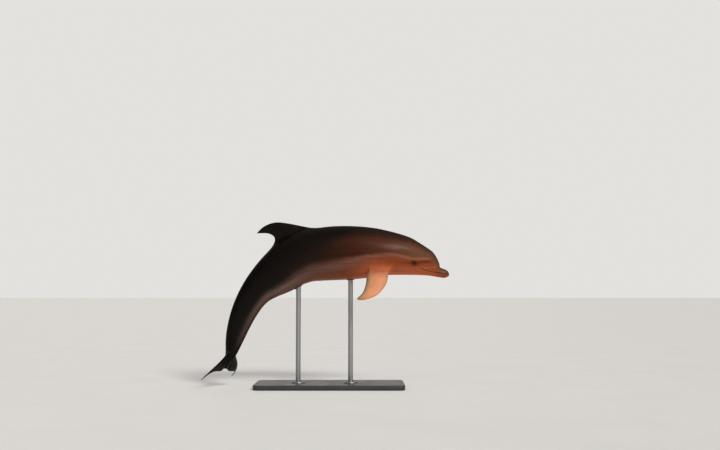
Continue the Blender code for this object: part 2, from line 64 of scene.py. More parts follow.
# ---------------------------------------------------------------- the animal's form
# A life-size bottlenose dolphin, cast whole and closed. Its form is a cage of rings along the
# bent spine, with a grid closing each end and five fins grown out of openings, all smoothed.
LENGTH = 2.70  # beak tip to the notch between the flukes, along the spine, metres
BEAK_TIP = (1.096, 0.0, 1.04)
# Places along the body, heights above the spine and distances to the side are shares of LENGTH.
# The spine's slope below level, in degrees, and the turn of the tail stock about its own length:
DIP = (
    (0.00, -13), (0.07, -15), (0.13, -16.5), (0.19, -14), (0.26, -8), (0.33, -2), (0.40, 1.5),
    (0.465, 5), (0.50, 13), (0.54, 22), (0.578, 33), (0.616, 40), (0.66, 44), (0.70, 49),
    (0.735, 56.5), (0.775, 62.5), (0.82, 67.5), (0.875, 74), (0.92, 76.5), (0.945, 75), (1.00, 71),
)
TWIST_STARTS, TWIST_ENDS, TWIST = 0.78, 0.95, 25.0
BACK = (
    (0.00, 0.0035), (0.008, 0.0095), (0.018, 0.0122), (0.031, 0.0132), (0.036, 0.0190), (0.0405, 0.0266),
    (0.046, 0.0350), (0.057, 0.0470), (0.074, 0.0600), (0.092, 0.0668), (0.12, 0.0755), (0.16, 0.0855),
    (0.22, 0.0896), (0.30, 0.0935), (0.37, 0.0942), (0.44, 0.0920), (0.50, 0.0875), (0.56, 0.0785),
    (0.605, 0.0672), (0.66, 0.0580), (0.72, 0.0480), (0.78, 0.0400), (0.85, 0.0318), (0.90, 0.0250),
    (0.935, 0.0155), (0.96, 0.0085), (0.98, 0.0048), (1.00, 0.0030),
)
BELLY = (
    (0.00, -0.0100), (0.008, -0.0158), (0.024, -0.0186), (0.06, -0.0217), (0.085, -0.0266), (0.11, -0.0332),
    (0.17, -0.0497), (0.215, -0.0620), (0.265, -0.0770), (0.32, -0.0860), (0.40, -0.0910), (0.48, -0.0902),
    (0.58, -0.0908), (0.62, -0.0850), (0.66, -0.0725), (0.69, -0.0610), (0.74, -0.0535), (0.80, -0.0470),
    (0.865, -0.0432), (0.90, -0.0372), (0.935, -0.0300), (0.96, -0.0200), (0.98, -0.0120), (1.00, -0.0080),
)
SIDE = (
    (0.00, 0.0060), (0.008, 0.0118), (0.018, 0.0142), (0.031, 0.0168), (0.042, 0.0215), (0.06, 0.0305),
    (0.09, 0.0425), (0.125, 0.0520), (0.17, 0.0630), (0.22, 0.0730), (0.28, 0.0795), (0.34, 0.0822),
    (0.42, 0.0812), (0.50, 0.0750), (0.56, 0.0650), (0.62, 0.0530), (0.68, 0.0408), (0.74, 0.0305),
    (0.80, 0.0228), (0.86, 0.0176), (0.91, 0.0150), (0.95, 0.0140), (0.98, 0.0130), (1.00, 0.0115),
)
# the height at which the body is widest, and how square it is above and below (2 is an ellipse)
MIDDLE = (
    (0.00, -0.0035), (0.04, -0.0030), (0.08, 0.0010), (0.125, 0.0050), (0.17, 0.0060), (0.25, 0.0040),
    (0.35, 0.0000), (0.50, -0.0020), (0.62, -0.0080), (0.74, -0.0040), (0.90, -0.0055), (0.95, -0.0060),
    (1.00, -0.0030),
)
BACK_ROUNDNESS = (
    (0.00, 2.2), (0.031, 2.4), (0.05, 2.8), (0.08, 2.6), (0.12, 2.3), (0.20, 2.15), (0.40, 2.1),
    (0.60, 1.9), (0.75, 1.7), (0.90, 1.65), (0.96, 1.8), (1.00, 2.0),
)
BELLY_ROUNDNESS = (
    (0.00, 2.2), (0.06, 2.4), (0.12, 2.3), (0.20, 2.2), (0.45, 2.15), (0.60, 1.95), (0.75, 1.7),
    (0.90, 1.65), (0.96, 1.8), (1.00, 2.0),
)
# how much further back the fold in front of the melon lies at the sides than on the ridge
SET_BACK = (
    (0.00, 0.0), (0.018, 0.003), (0.036, 0.0100), (0.06, 0.0105), (0.09, 0.006), (0.14, 0.0), (1.0, 0.0),
)
COLUMNS = (0, 14, 42, 69, 90, 111, 134, 157, 180)  # degrees round from the ridge to the keel
RINGS = (
    0.001, 0.010, 0.023, 0.033, 0.0385, 0.046, 0.057, 0.074, 0.096, 0.125, 0.160,
    0.200, 0.225, 0.250, 0.275, 0.315, 0.365, 0.415,
    0.458, 0.488, 0.518, 0.548, 0.578, 0.615, 0.660, 0.710, 0.765, 0.825, 0.885,
    0.927, 0.944, 0.961, 0.978, 0.994,
)
# a fin: its opening (first and last ring, column), then its sections from root to tip, each
# (leading edge, trailing edge, thickness / chord), each edge (share, to the side, above the spine)
DORSAL_FIN = {
    "opening": (0.458, 0.578, 0),
    "sections": (
        ((0.4835, 0, 0.0985), (0.5650, 0, 0.0880), 0.165),
        ((0.5060, 0, 0.1125), (0.5625, 0, 0.0990), 0.150),
        ((0.5290, 0, 0.1295), (0.5650, 0, 0.1100), 0.140),
        ((0.5500, 0, 0.1440), (0.5710, 0, 0.1215), 0.135),
        ((0.5720, 0, 0.1482), (0.5800, 0, 0.1310), 0.140),
        ((0.5885, 0, 0.1432), (0.5893, 0, 0.1402), 0.300),
    ),
}
FLIPPER = {
    "opening": (0.200, 0.275, 134),
    "sections": (
        ((0.2015, 0.0680, -0.0670), (0.2790, 0.0675, -0.0700), 0.220),
        ((0.2030, 0.0830, -0.0890), (0.2795, 0.0815, -0.0900), 0.165),
        ((0.2120, 0.0960, -0.1105), (0.2815, 0.0950, -0.1080), 0.130),
        ((0.2330, 0.1085, -0.1345), (0.2875, 0.1070, -0.1270), 0.115),
        ((0.2660, 0.1165, -0.1500), (0.2970, 0.1155, -0.1390), 0.120),
        ((0.2960, 0.1205, -0.1565), (0.3075, 0.1200, -0.1475), 0.150),
        ((0.3100, 0.1222, -0.1550), (0.3125, 0.1220, -0.1518), 0.400),
    ),
}
FLUKE = {
    "opening": (0.927, 0.994, 90),
    "sections": (
        ((0.9370, 0.0210, -0.0075), (1.0010, 0.0210, -0.0045), 0.175),
        ((0.9500, 0.0340, -0.0080), (1.0030, 0.0340, -0.0050), 0.125),
        ((0.9660, 0.0510, -0.0080), (1.0030, 0.0510, -0.0055), 0.120),
        ((0.9810, 0.0680, -0.0080), (1.0055, 0.0680, -0.0060), 0.120),
        ((0.9970, 0.0850, -0.0080), (1.0110, 0.0850, -0.0070), 0.130),
        ((1.0130, 0.1010, -0.0080), (1.0210, 0.1010, -0.0075), 0.150),
        ((1.0300, 0.1160, -0.0080), (1.0335, 0.1160, -0.0080), 0.250),
    ),
}
# the columns at a flipper's edges draw in towards its middle over the flipper's root
FLIPPER_EDGES = (111, 157)
PINCH = ((0.0, 1.0), (0.16, 1.0), (0.205, 0.60), (0.27, 0.60), (0.32, 1.0), (1.0, 1.0))
FIN_EDGE = 0.0016  # half a fin's thickness at its trailing edge near the tip; three times that at the root
# how far the left (1) and right (-1) fluke's tip curls up, the distances to the side between which it
# curls, and how far askew the flukes lie
FLUKE_CURL = {1: 0.040, -1: 0.006}
CURL_STARTS, CURL_ENDS = 0.045, 0.116
FLUKE_SLEW = 0.07
# places on the skin's flat pattern: (left, foot, width, height)
BODY_PATTERN = (0.005, 0.375, 0.99, 0.62)
FIN_PATTERNS = [(0.010 + 0.197 * k, 0.010, 0.187, 0.270) for k in range(5)]
TIP_PATTERNS = [(0.150 + 0.060 * k, 0.300, 0.050, 0.050) for k in range(5)]
END_PATTERNS = [(0.010, 0.295, 0.060, 0.060), (0.085, 0.295, 0.050, 0.060)]
# the head has twice its share of the pattern's length
PATTERN_ALONG = ((-0.01, 0.0), (0.04, 0.14), (0.178, 0.36), (0.30, 0.50), (0.60, 0.74), (1.0, 1.0))


def smooth(knots, at):
    """The values at some places of a smooth curve through (place, value) knots, which it never overshoots."""
    x, y = np.array(knots, float).T
    step = np.diff(x)
    climb = np.diff(y) / step
    slope = np.concatenate([climb[:1], np.zeros(len(x) - 2), climb[-1:]])
    for k in range(1, len(x) - 1):
        if climb[k - 1] * climb[k] > 0:
            before, after = 2 * step[k] + step[k - 1], step[k] + 2 * step[k - 1]
            slope[k] = (before + after) / (before / climb[k - 1] + after / climb[k])
    at = np.clip(at, x[0], x[-1])
    k = np.clip(np.searchsorted(x, at) - 1, 0, len(step) - 1)
    t = (at - x[k]) / step[k]
    return (
        (1 + 2 * t) * (1 - t) ** 2 * y[k]
        + t * (1 - t) ** 2 * step[k] * slope[k]
        + t * t * (3 - 2 * t) * y[k + 1]
        + t * t * (t - 1) * step[k] * slope[k + 1]
    )


def rise(value, low, high):
    """0 below low, 1 above high, smooth between."""
    part = np.clip((value - low) / (high - low), 0, 1)
    return part * part * (3 - 2 * part)


def slope_way(dip):
    """The unit way forward along the spine where it slopes down by dip."""
    return np.stack([np.cos(dip), np.zeros_like(dip), np.sin(dip)], axis=1)


STEPS = 1000  # steps of the spine to the body's length; the flukes' tips lie a tenth further back
walk = slope_way(np.radians(smooth(DIP, (np.arange(STEPS * 1.1) + 0.5) / STEPS))) * LENGTH / STEPS
SPINE = np.array(BEAK_TIP) - np.vstack([np.zeros(3), np.cumsum(walk, axis=0)])


def frames(share):
    """The spine's places, and the unit directions tailward, leftward and upward there."""
    share = np.atleast_1d(np.asarray(share, float))
    at = np.clip(share * STEPS, 0, len(SPINE) - 1.001)
    whole = at.astype(int)
    rest = (at - whole)[:, None]
    dip = np.radians(smooth(DIP, share))
    tailward = -slope_way(dip)
    place = SPINE[whole] * (1 - rest) + SPINE[whole + 1] * rest
    place = place + tailward * np.minimum(share, 0)[:, None] * LENGTH
    turn = math.radians(TWIST) * rise(share, TWIST_STARTS, TWIST_ENDS)[:, None]
    across = np.tile([0.0, 1.0, 0.0], (len(share), 1))
    above = np.cross(across, tailward)
    above *= np.sign(above[:, 2:3])
    leftward, upward = (
        way * np.cos(turn) + np.cross(tailward, way) * np.sin(turn) for way in (across, above)
    )
    return place, tailward, leftward, upward


def body_point(share, left, up):
    """A point of the bent body from its straight-body place."""
    place, tailward, leftward, upward = frames(share)
    return Vector((place + (leftward * left + upward * up) * LENGTH)[0])


def straighten(points):
    """The straight-body places of some points of the bent body: share, left and up of each."""
    coarse = np.linspace(0, 1.08, 55)
    place = frames(coarse)[0]
    share = np.concatenate(
        [
            coarse[((some[:, None] - place[None]) ** 2).sum(axis=2).argmin(axis=1)]
            for some in np.array_split(points, max(len(points) // 20000, 1))
        ]
    )
    for _ in range(14):
        place, tailward = frames(share)[:2]
        share = share + 0.8 * ((points - place) * tailward).sum(axis=1) / LENGTH
    place, tailward, *sideways = frames(share)
    left, up = (((points - place) * way).sum(axis=1) / LENGTH for way in sideways)
    return share, left, up


def skin_point(share, angle):
    """The straight-body place of the skin on a ring, at an angle round from the ridge (left is plus)."""
    turn = math.radians(abs(angle))
    behind = share + smooth(SET_BACK, share) * math.sin(turn) ** 2
    middle = smooth(MIDDLE, behind)
    if turn <= math.pi / 2:
        edge, power = smooth(BACK, share), 2 / smooth(BACK_ROUNDNESS, behind)
    else:
        edge, power = smooth(BELLY, behind), 2 / smooth(BELLY_ROUNDNESS, behind)
    left = smooth(SIDE, behind) * abs(math.sin(turn)) ** power
    up = middle + (edge - middle) * abs(math.cos(turn)) ** power
    return behind, math.copysign(left, angle), up


ANGLES = COLUMNS + tuple(-angle for angle in COLUMNS[-2:0:-1])  # all the way round, through the left side
AROUND = len(ANGLES)


def pinched(share, angle):
    """A column's angle on one ring; the columns at a flipper's edges draw in over its root."""
    if abs(angle) not in FLIPPER_EDGES:
        return angle
    middle = math.copysign(FLIPPER["opening"][2], angle)
    return middle + (angle - middle) * smooth(PINCH, share)


class Cage:
    """The points that the smooth skin must pass through, and the faces between them."""

    def __init__(self):
        self.points = []
        self.fins = []  # for each point, how far out it lies on the dorsal fin, a flipper and a fluke
        self.chords = []  # and how far from that fin's leading edge to its trailing edge
        self.faces = []
        self.patterns = []  # each face's corners on the flat pattern
        self.ends = set()  # the points of the closed ends, where the surface may pass a little inside

    def add(self, point, fin=(0, 0, 0), chord=0.5):
        self.points.append(Vector(point))
        self.fins.append(fin)
        self.chords.append(chord)
        return len(self.points) - 1

    def face(self, corners, pattern, places):
        """Adds a face; places are its corners' places within one part of the flat pattern."""
        left, foot, width, tall = pattern
        self.faces.append(corners)
        self.patterns.append([(left + width * along, foot + tall * around) for along, around in places])

    def bridge(self, loop, next_loop, pattern, start, end, opened=()):
        """Joins two loops by a band of faces, but for the opened ones."""
        for k in range(len(loop)):
            if k in opened:
                continue
            after = (k + 1) % len(loop)
            one, two = k / len(loop), (k + 1) / len(loop)
            self.face(
                (loop[k], loop[after], next_loop[after], next_loop[k]),
                pattern,
                ((start, one), (start, two), (end, two), (end, one)),
            )

    def cap(self, ring, bulge, pattern):
        """Closes a ring of sixteen with a grid four faces square, pushed out by bulge at its middle."""
        self.ends |= set(ring)
        top = [ring[(2 - k) % AROUND] for k in range(5)]
        bottom = [ring[6 + k] for k in range(5)]
        left = [ring[2 + k] for k in range(5)]
        right = [ring[(-2 - k) % AROUND] for k in range(5)]
        rows = [top]
        for row in (1, 2, 3):
            line = [left[row]]
            for column in (1, 2, 3):
                down = self.points[top[column]].lerp(self.points[bottom[column]], row / 4)
                across = self.points[left[row]].lerp(self.points[right[row]], column / 4)
                swell = 1 - 0.28 * ((column - 2) ** 2 + (row - 2) ** 2)
                line.append(self.add((down + across) / 2 + bulge * swell))
                self.ends.add(line[-1])
            rows.append(line + [right[row]])
        rows.append(bottom)
        for row, (upper, lower) in enumerate(zip(rows, rows[1:])):
            for k in range(4):
                self.face(
                    (upper[k], upper[k + 1], lower[k + 1], lower[k]),
                    pattern,
                    [(c / 4, r / 4) for c, r in ((k, row), (k + 1, row), (k + 1, row + 1), (k, row + 1))],
                )


def section_points(lead, trail, thickness, edge, across, stations):
    """A fin's section, round from its leading edge, and each point's place along the chord."""
    chord = trail - lead
    one, other, places = [], [], []
    for k in range(stations):
        at = (1 - math.cos(math.pi * (k + 0.5) / stations)) / 2
        half = 5 * thickness * chord.length * (
            0.2969 * math.sqrt(at) - 0.1260 * at - 0.3516 * at**2 + 0.2843 * at**3 - 0.1036 * at**4
        )
        half += edge * at
        one.append(lead + chord * at + across * half)
        other.append(lead + chord * at - across * half)
        places.append(at)
    return [lead] + one + [trail] + other[::-1], [0.0] + places + [1.0] + places[::-1]


def grow_fin(cage, rings, fin, side, number):
    """Grows a fin out of its opening; side is 1 for the left, -1 for the right. Returns the open faces."""
    first, last, angle = fin["opening"]
    first, last = RINGS.index(first), RINGS.index(last)
    column = ANGLES.index(angle) * side % AROUND
    one, other = ([ring[(column + way) % AROUND] for ring in rings[first : last + 1]] for way in (1, -1))
    loop = [rings[first][column]] + one + [rings[last][column]] + other[::-1]
    edges = []
    for lead, trail, thickness in fin["sections"]:
        out = max(lead[1] - CURL_STARTS, 0) / (CURL_ENDS - CURL_STARTS)
        curl = FLUKE_CURL[side] * out * out if fin is FLUKE else 0
        slew = -FLUKE_SLEW * lead[1] * side if fin is FLUKE else 0
        lead, trail = (body_point(share + slew, left * side, up + curl) for share, left, up in (lead, trail))
        edges.append((lead, trail, thickness))
    middle = len(one) // 2
    towards_one = cage.points[one[middle]] - cage.points[other[middle]]
    root = (cage.points[loop[0]] + cage.points[loop[len(one) + 1]]) / 2
    centres = [root] + [(lead + trail) / 2 for lead, trail, thickness in edges]
    for k, (lead, trail, thickness) in enumerate(edges):
        span = centres[min(k + 2, len(centres) - 1)] - centres[k]
        across = (trail - lead).cross(span).normalized()
        if across.dot(towards_one) < 0:
            across.negate()
        edge = FIN_EDGE * (1 + 2 * 0.5**k)
        out = (k + 1) / len(edges)
        mark = [out if fin is kind else 0 for kind in (DORSAL_FIN, FLIPPER, FLUKE)]
        places, chords = section_points(lead, trail, thickness, edge, across, len(one))
        section = [cage.add(place, mark, chord) for place, chord in zip(places, chords)]
        cage.bridge(loop, section, FIN_PATTERNS[number], k / len(edges), out)
        loop = section
    near, far = loop[1 : len(one) + 1], loop[: len(one) + 1 : -1]
    tip = TIP_PATTERNS[number]
    cage.face((loop[0], near[0], far[0]), tip, ((0, 0.5), (0.1, 0), (0.1, 1)))
    cage.face((near[-1], loop[len(one) + 1], far[-1]), tip, ((0.9, 0), (1, 0.5), (0.9, 1)))
    for k in range(len(one) - 1):
        start, end = (0.1 + 0.8 * j / (len(one) - 1) for j in (k, k + 1))
        corners = (near[k], near[k + 1], far[k + 1], far[k])
        cage.face(corners, tip, ((start, 0), (end, 0), (end, 1), (start, 1)))
    open_columns = {(column - 1) % AROUND, column}
    return {(ring, column) for ring in range(first, last) for column in open_columns}


cage = Cage()
rings = [
    [cage.add(body_point(*skin_point(share, pinched(share, angle)))) for angle in ANGLES] for share in RINGS
]
cage.cap(rings[0], body_point(-0.0030, 0, 0) - body_point(0.001, 0, 0), END_PATTERNS[0])
cage.cap(rings[-1], body_point(0.9945, 0, 0) - body_point(0.994, 0, 0), END_PATTERNS[1])
opened = set()
for number, (fin, side) in enumerate(((DORSAL_FIN, 1), (FLIPPER, 1), (FLIPPER, -1), (FLUKE, 1), (FLUKE, -1))):
    opened |= grow_fin(cage, rings, fin, side, number)
for number in range(len(rings) - 1):
    start, end = (float(smooth(PATTERN_ALONG, share)) for share in RINGS[number : number + 2])
    gaps = [column for ring, column in opened if ring == number]
    cage.bridge(rings[number], rings[number + 1], BODY_PATTERN, start, end, gaps)


def read(mesh, name):
    """A three-part point attribute of a mesh, as an array."""
    values = np.zeros(len(mesh.vertices) * 3, np.float32)
    mesh.attributes[name].data.foreach_get("vector", values)
    return values.reshape(-1, 3).astype(float)


def write(mesh, name, values):
    """Keeps an array on a mesh as a point attribute."""
    flat = values.ndim == 1
    attribute = mesh.attributes.new(name, "FLOAT" if flat else "FLOAT_VECTOR", "POINT")
    attribute.data.foreach_set("value" if flat else "vector", values.astype(np.float32).ravel())


def move_points(mesh, points):
    """Moves a mesh's points to new places."""
    mesh.vertices.foreach_set("co", points.astype(np.float32).ravel())
    mesh.update()


# The cage becomes a mesh, without the few points that the fins' openings leave out, and its
# points move until the smooth surface meets every one of them.
used = sorted({k for face in cage.faces for k in face})
number_of = {k: number for number, k in enumerate(used)}
skin_mesh = bpy.data.meshes.new("skin_cage")
used_faces = [[number_of[k] for k in face] for face in cage.faces]
skin_mesh.from_pydata([cage.points[k] for k in used], [], used_faces)
write(skin_mesh, "fins", np.array([cage.fins[k] for k in used], float))
write(skin_mesh, "chord", np.array([cage.chords[k] for k in used], float))
flat_places = np.array([place for face in cage.patterns for place in face], np.float32)
skin_mesh.uv_layers.new(name="OFBake").data.foreach_set("uv", flat_places.ravel())
facing_out = bmesh.new()
facing_out.from_mesh(skin_mesh)
bmesh.ops.recalc_face_normals(facing_out, faces=facing_out.faces)
facing_out.to_mesh(skin_mesh)
facing_out.free()
skin = placed("skin", skin_mesh)
rounding = skin.modifiers.new("rounding", "SUBSURF")
rounding.use_limit_surface = True
rounding.boundary_smooth = "PRESERVE_CORNERS"


def smoothed(levels):
    """A new mesh of the skin, rounded that many times over."""
    rounding.levels = rounding.render_levels = levels
    graph = bpy.context.evaluated_depsgraph_get()
    return bpy.data.meshes.new_from_object(skin.evaluated_get(graph), depsgraph=graph)


for _ in range(5):
    met = smoothed(1)
    for k, point, moved in zip(used, skin.data.vertices, met.vertices):
        if k not in cage.ends:
            point.co += 0.9 * (cage.points[k] - moved.co)
    skin.data.update()
    bpy.data.meshes.remove(met)
fine_mesh = smoothed(4)
skin.modifiers.clear()
skin.data = fine_mesh


# The skin draws in to a soft hollow round each fin's root, where its points settle among their
# neighbours: how far out along a fin that starts and ends, how often its edge is softened, and how
# often the points settle.
ROOT_REACH = (0.004, 0.16)
ROOT_SOFTENS, ROOT_SETTLES = 16, 45
points = read(fine_mesh, "position")
fins = read(fine_mesh, "fins").max(axis=1)
ends = np.zeros(len(fine_mesh.edges) * 2, np.int32)
fine_mesh.edges.foreach_get("vertices", ends)
one_end, other_end = ends.reshape(-1, 2).T
neighbours = np.bincount(ends, minlength=len(points))


def among_neighbours(values):
    """Each point's mean over its neighbours, for every column of values."""
    totals = [
        np.bincount(one_end, column[other_end], len(column))
        + np.bincount(other_end, column[one_end], len(column))
        for column in values.T
    ]
    return np.stack(totals, axis=1) / neighbours[:, None]


root = ((fins > ROOT_REACH[0]) & (fins < ROOT_REACH[1])).astype(float)[:, None]
for _ in range(ROOT_SOFTENS):
    root = among_neighbours(root)
for _ in range(ROOT_SETTLES):
    points += 0.6 * root * (among_neighbours(points) - points)
move_points(fine_mesh, points)

# ---------------------------------------------------------------- the skin's folds
# The folds are carved into the cast skin: the mouth with its lips, the crease before the melon,
# the eyelids, the ears' pinholes, the crescent blowhole, and the navel and slits of the belly.
# Round the eyes, the mouth, the blowhole, the navel and the slits the mesh is first split finer, and its new
# points follow the old curvature.
EYE_RADIUS = 0.017
EYE_OPENING = (0.0135, 0.0078, 0.0066)  # half its length, its height above and below the eye's middle
EYE_SHARE, EYE_TILT = 0.125, 0.10  # where the eyes lie, and how far their corners rise towards the beak
LID_THICKNESS = 0.0016
LID_BLEND = 0.0016  # how softly the lid runs into the head
EAR = (0.1425, 0.0000)
MOUTH = (
    (-0.020, 0.0010), (0.000, -0.0010), (0.015, -0.0030), (0.030, -0.0045), (0.050, -0.0072),
    (0.070, -0.0086), (0.088, -0.0080), (0.100, -0.0055), (0.108, -0.0035),
)
MOUTH_ENDS = MOUTH[-1]
MELON_FOLD = 0.0350
BLOWHOLE = (0.1285, 0.0012, 0.0190, 0.0085)  # share, to the left, half its width, depth of its crescent
# the navel and the two slits: from, to, half the width
BELLY_SLITS = ((0.455, 0.458, 0.0035), (0.612, 0.652, 0.0020), (0.672, 0.681, 0.0020))
FLIPPER_ROOT = 0.2375  # the middle of the flippers' roots
THROAT_FOLDS, ROOT_FOLDS = 0.0105, 0.0125  # from fold to fold: a share of the length, and metres
NECK_X = 0.55  # the whole head lies ahead of this
flesh = ["head", "lower_jaw", "thorax", "abdomen", "tail_stock_front", "tail_stock_rear", "dorsal_fin"]
flesh += ["flipper_left", "flipper_right", "fluke_left", "fluke_right"]


def outward_ways(mesh):
    """The mesh's unit normal at each point."""
    ways = np.zeros(len(mesh.vertices) * 3, np.float32)
    mesh.vertex_normals.foreach_get("vector", ways)
    return ways.reshape(-1, 3).astype(float)


def hump(distance, width):
    """1 at no distance, falling smoothly to nothing over about twice the width."""
    return np.exp(-((distance / width) ** 2))


def from_mouth(share, up):
    """How far a place on the head's side is from the mouth's line, and how far above it, in metres."""
    at = np.clip(share, MOUTH[0][0], MOUTH_ENDS[0])
    above = (up - smooth(MOUTH, at)) * LENGTH
    return np.hypot((share - at) * LENGTH, above), above


def from_blowhole(share, left):
    """How far a place on the head's top is from the blowhole's line, and its place across and behind."""
    across = (left - BLOWHOLE[1]) * LENGTH
    behind = (share - BLOWHOLE[0]) * LENGTH
    held = np.clip(across, -BLOWHOLE[2], BLOWHOLE[2])
    curve = BLOWHOLE[3] * (0.4 - (held / BLOWHOLE[2]) ** 2)
    steep = 2 * BLOWHOLE[3] * held / BLOWHOLE[2] ** 2
    return np.hypot(across - held, (behind - curve) / np.sqrt(1 + steep**2)), across, behind


# each eye: its middle from its solid, the way it looks, its long axis towards the beak, and its up
points = read(skin.data, "position")
ways = outward_ways(skin.data)
eyes = {}
for word, side in (("left", 1), ("right", -1)):
    low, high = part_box("eye_" + word)
    middle = np.array((low + high) / 2)
    look = ways[((points - middle) ** 2).sum(axis=1).argmin()]
    tailward, leftward, upward = (way[0] for way in frames(EYE_SHARE)[1:])
    ahead = upward * EYE_TILT - tailward
    ahead -= look * ahead.dot(look)
    ahead /= np.linalg.norm(ahead)
    eyes[word] = (middle, look, ahead, np.cross(look, ahead) * -side)

squared = np.concatenate([ways * ways, np.roll(ways, -1, axis=1) * ways], axis=1)
write(skin.data, "own_squares", squared[:, :3])
write(skin.data, "cross_squares", squared[:, 3:])
write(skin.data, "anchor", ways * (ways * points).sum(axis=1)[:, None])
finer = bmesh.new()
finer.from_mesh(skin.data)
# the mesh is halved up to three times, more often the nearer it lies to a fold, in metres
for wanted in (1, 2, 3):
    finer.verts.index_update()
    points = np.array([point.co for point in finer.verts])
    halvings = np.zeros(len(points), int)
    for middle, look, ahead, above in eyes.values():
        distance = np.linalg.norm(points - middle, axis=1)
        halvings = np.maximum(halvings, np.select([distance < 0.034, distance < 0.060], [3, 2], 0))
    ahead_of_neck = np.flatnonzero(points[:, 0] > NECK_X)
    share, left, up = straighten(points[ahead_of_neck])
    mouth = from_mouth(share, up)[0]
    blowhole = np.where(up > 0.04, from_blowhole(share, left)[0], 1.0)
    near = np.select([mouth < 0.010, mouth < 0.018], [2, 1], 0)
    near = np.maximum(near, np.select([blowhole < 0.012, blowhole < 0.030], [3, 2], 0))
    halvings[ahead_of_neck] = np.maximum(halvings[ahead_of_neck], near)
    under = np.flatnonzero((np.abs(points[:, 1]) < 0.03) & (points[:, 0] < 0.1) & (points[:, 0] > -0.9))
    share, left, up = straighten(points[under])
    for start, end, width in BELLY_SLITS:
        off = np.hypot(share - np.clip(share, start, end), left) * LENGTH
        near = np.where(up < 0, np.select([off < 0.012, off < 0.022], [3, 2], 0), 0)
        halvings[under] = np.maximum(halvings[under], near)
    wish = halvings >= wanted
    chosen = [edge for edge in finer.edges if wish[edge.verts[0].index] and wish[edge.verts[1].index]]
    bmesh.ops.subdivide_edges(finer, edges=chosen, cuts=1, use_grid_fill=True)
finer.to_mesh(skin.data)
finer.free()
points = read(skin.data, "position")
own, crossed = read(skin.data, "own_squares"), read(skin.data, "cross_squares")
towards = own * points + crossed * np.roll(points, -1, axis=1)
towards += np.roll(crossed, 1, axis=1) * np.roll(points, 1, axis=1)
points += 0.5 * (read(skin.data, "anchor") - towards)
for name in ("own_squares", "cross_squares", "anchor"):
    skin.data.attributes.remove(skin.data.attributes[name])
move_points(skin.data, points)

ways = outward_ways(skin.data)
share, left, up = straighten(points)
fins = read(skin.data, "fins")
body = 1 - rise(fins.max(axis=1), 0.0, 0.12)
half_width = np.maximum(smooth(SIDE, share), 0.004)
middle_height = smooth(MIDDLE, share)
top, bottom = smooth(BACK, share), smooth(BELLY, share)
height = (up - bottom) / (top - bottom)
head = 1 - rise(share, 0.20, 0.24)
lift = np.zeros(len(points))
# painted shade: how dark each fold, pit and slit is painted, further on
shade = np.zeros(len(points))  # how far each point lies in a fold

mouth, above = from_mouth(share, up)
tail_off = 1 - 0.55 * rise(share, 0.085, MOUTH_ENDS[0])
lift += head * tail_off * (
    -0.0042 * hump(mouth, 0.0018)
    + np.where(above > 0, 0.0014, 0.0010) * hump(mouth - 0.0065, 0.0045)
)
shade = np.maximum(shade, head * tail_off * hump(mouth, 0.0026))

above_middle = (up - middle_height) / np.where(up > middle_height, top, -bottom)
round_head = np.arctan2(np.abs(left) / half_width, above_middle)
fold = (share - smooth(SET_BACK, share) * np.sin(round_head) ** 2 - MELON_FOLD) * LENGTH
upper = rise(np.cos(round_head), -0.15, 0.35) * head
lift += upper * (-0.0022 * hump(fold, 0.0045) + 0.0012 * hump(fold - 0.012, 0.008))
shade = np.maximum(shade, 0.35 * upper * hump(fold, 0.0040))

blowhole, across, behind = from_blowhole(share, left)
on_top = head * rise(up, 0.045, 0.055)
lift += on_top * (
    -0.0070 * hump(blowhole, 0.0019)
    + 0.0014 * hump(blowhole - 0.0058, 0.0034)
    + 0.0022 * hump(across, 0.013) * hump(behind + 0.0065, 0.0080)
    - 0.0030 * hump(across, 0.036) * hump(behind, 0.030)
)
shade = np.maximum(shade, on_top * hump(blowhole, 0.0024))

ear = np.hypot(share - EAR[0], up - EAR[1]) * LENGTH
lift += head * (-0.0018 * hump(ear, 0.0014) - 0.0009 * hump(ear, 0.0070))
shade = np.maximum(shade, head * hump(ear, 0.0017))

keel = (1 - rise(height, 0.10, 0.25)) * body
for start, end, width in BELLY_SLITS:
    off = np.hypot(share - np.clip(share, start, end), left) * LENGTH
    lift += keel * (-0.0042 * hump(off, width) + 0.0011 * hump(off - width * 2.6, width * 1.6))
    shade = np.maximum(shade, 0.8 * keel * hump(off, width * 1.2))

# soft folds across the throat and behind the jaw, round the flippers' roots, and the furrow
# between the muscles above and below the tail's spine
neck = rise(share, 0.125, 0.150) * (1 - rise(share, 0.185, 0.205)) * (1 - rise(height, 0.30, 0.55))
waver = 0.0022 * np.sin(left * 60) + 0.002 * np.cos(up * 95)
lift -= 0.0007 * neck * (0.5 + 0.5 * np.cos((share + waver) * 2 * math.pi / THROAT_FOLDS)) ** 3
for side_of_body in (1, -1):
    root = np.array(body_point(*skin_point(FLIPPER_ROOT, FLIPPER["opening"][2] * side_of_body)))
    off = np.linalg.norm(points - root, axis=1)
    ripple = (0.5 + 0.5 * np.cos(off / ROOT_FOLDS * 2 * math.pi)) ** 2
    lift -= 0.0007 * body * hump(off - 0.135, 0.040) * ripple
furrow = rise(share, 0.60, 0.70) * (1 - rise(share, 0.86, 0.93)) * body
lift -= 0.0022 * furrow * hump((up - middle_height - 0.004) * LENGTH, 0.020)

points += ways * lift[:, None]

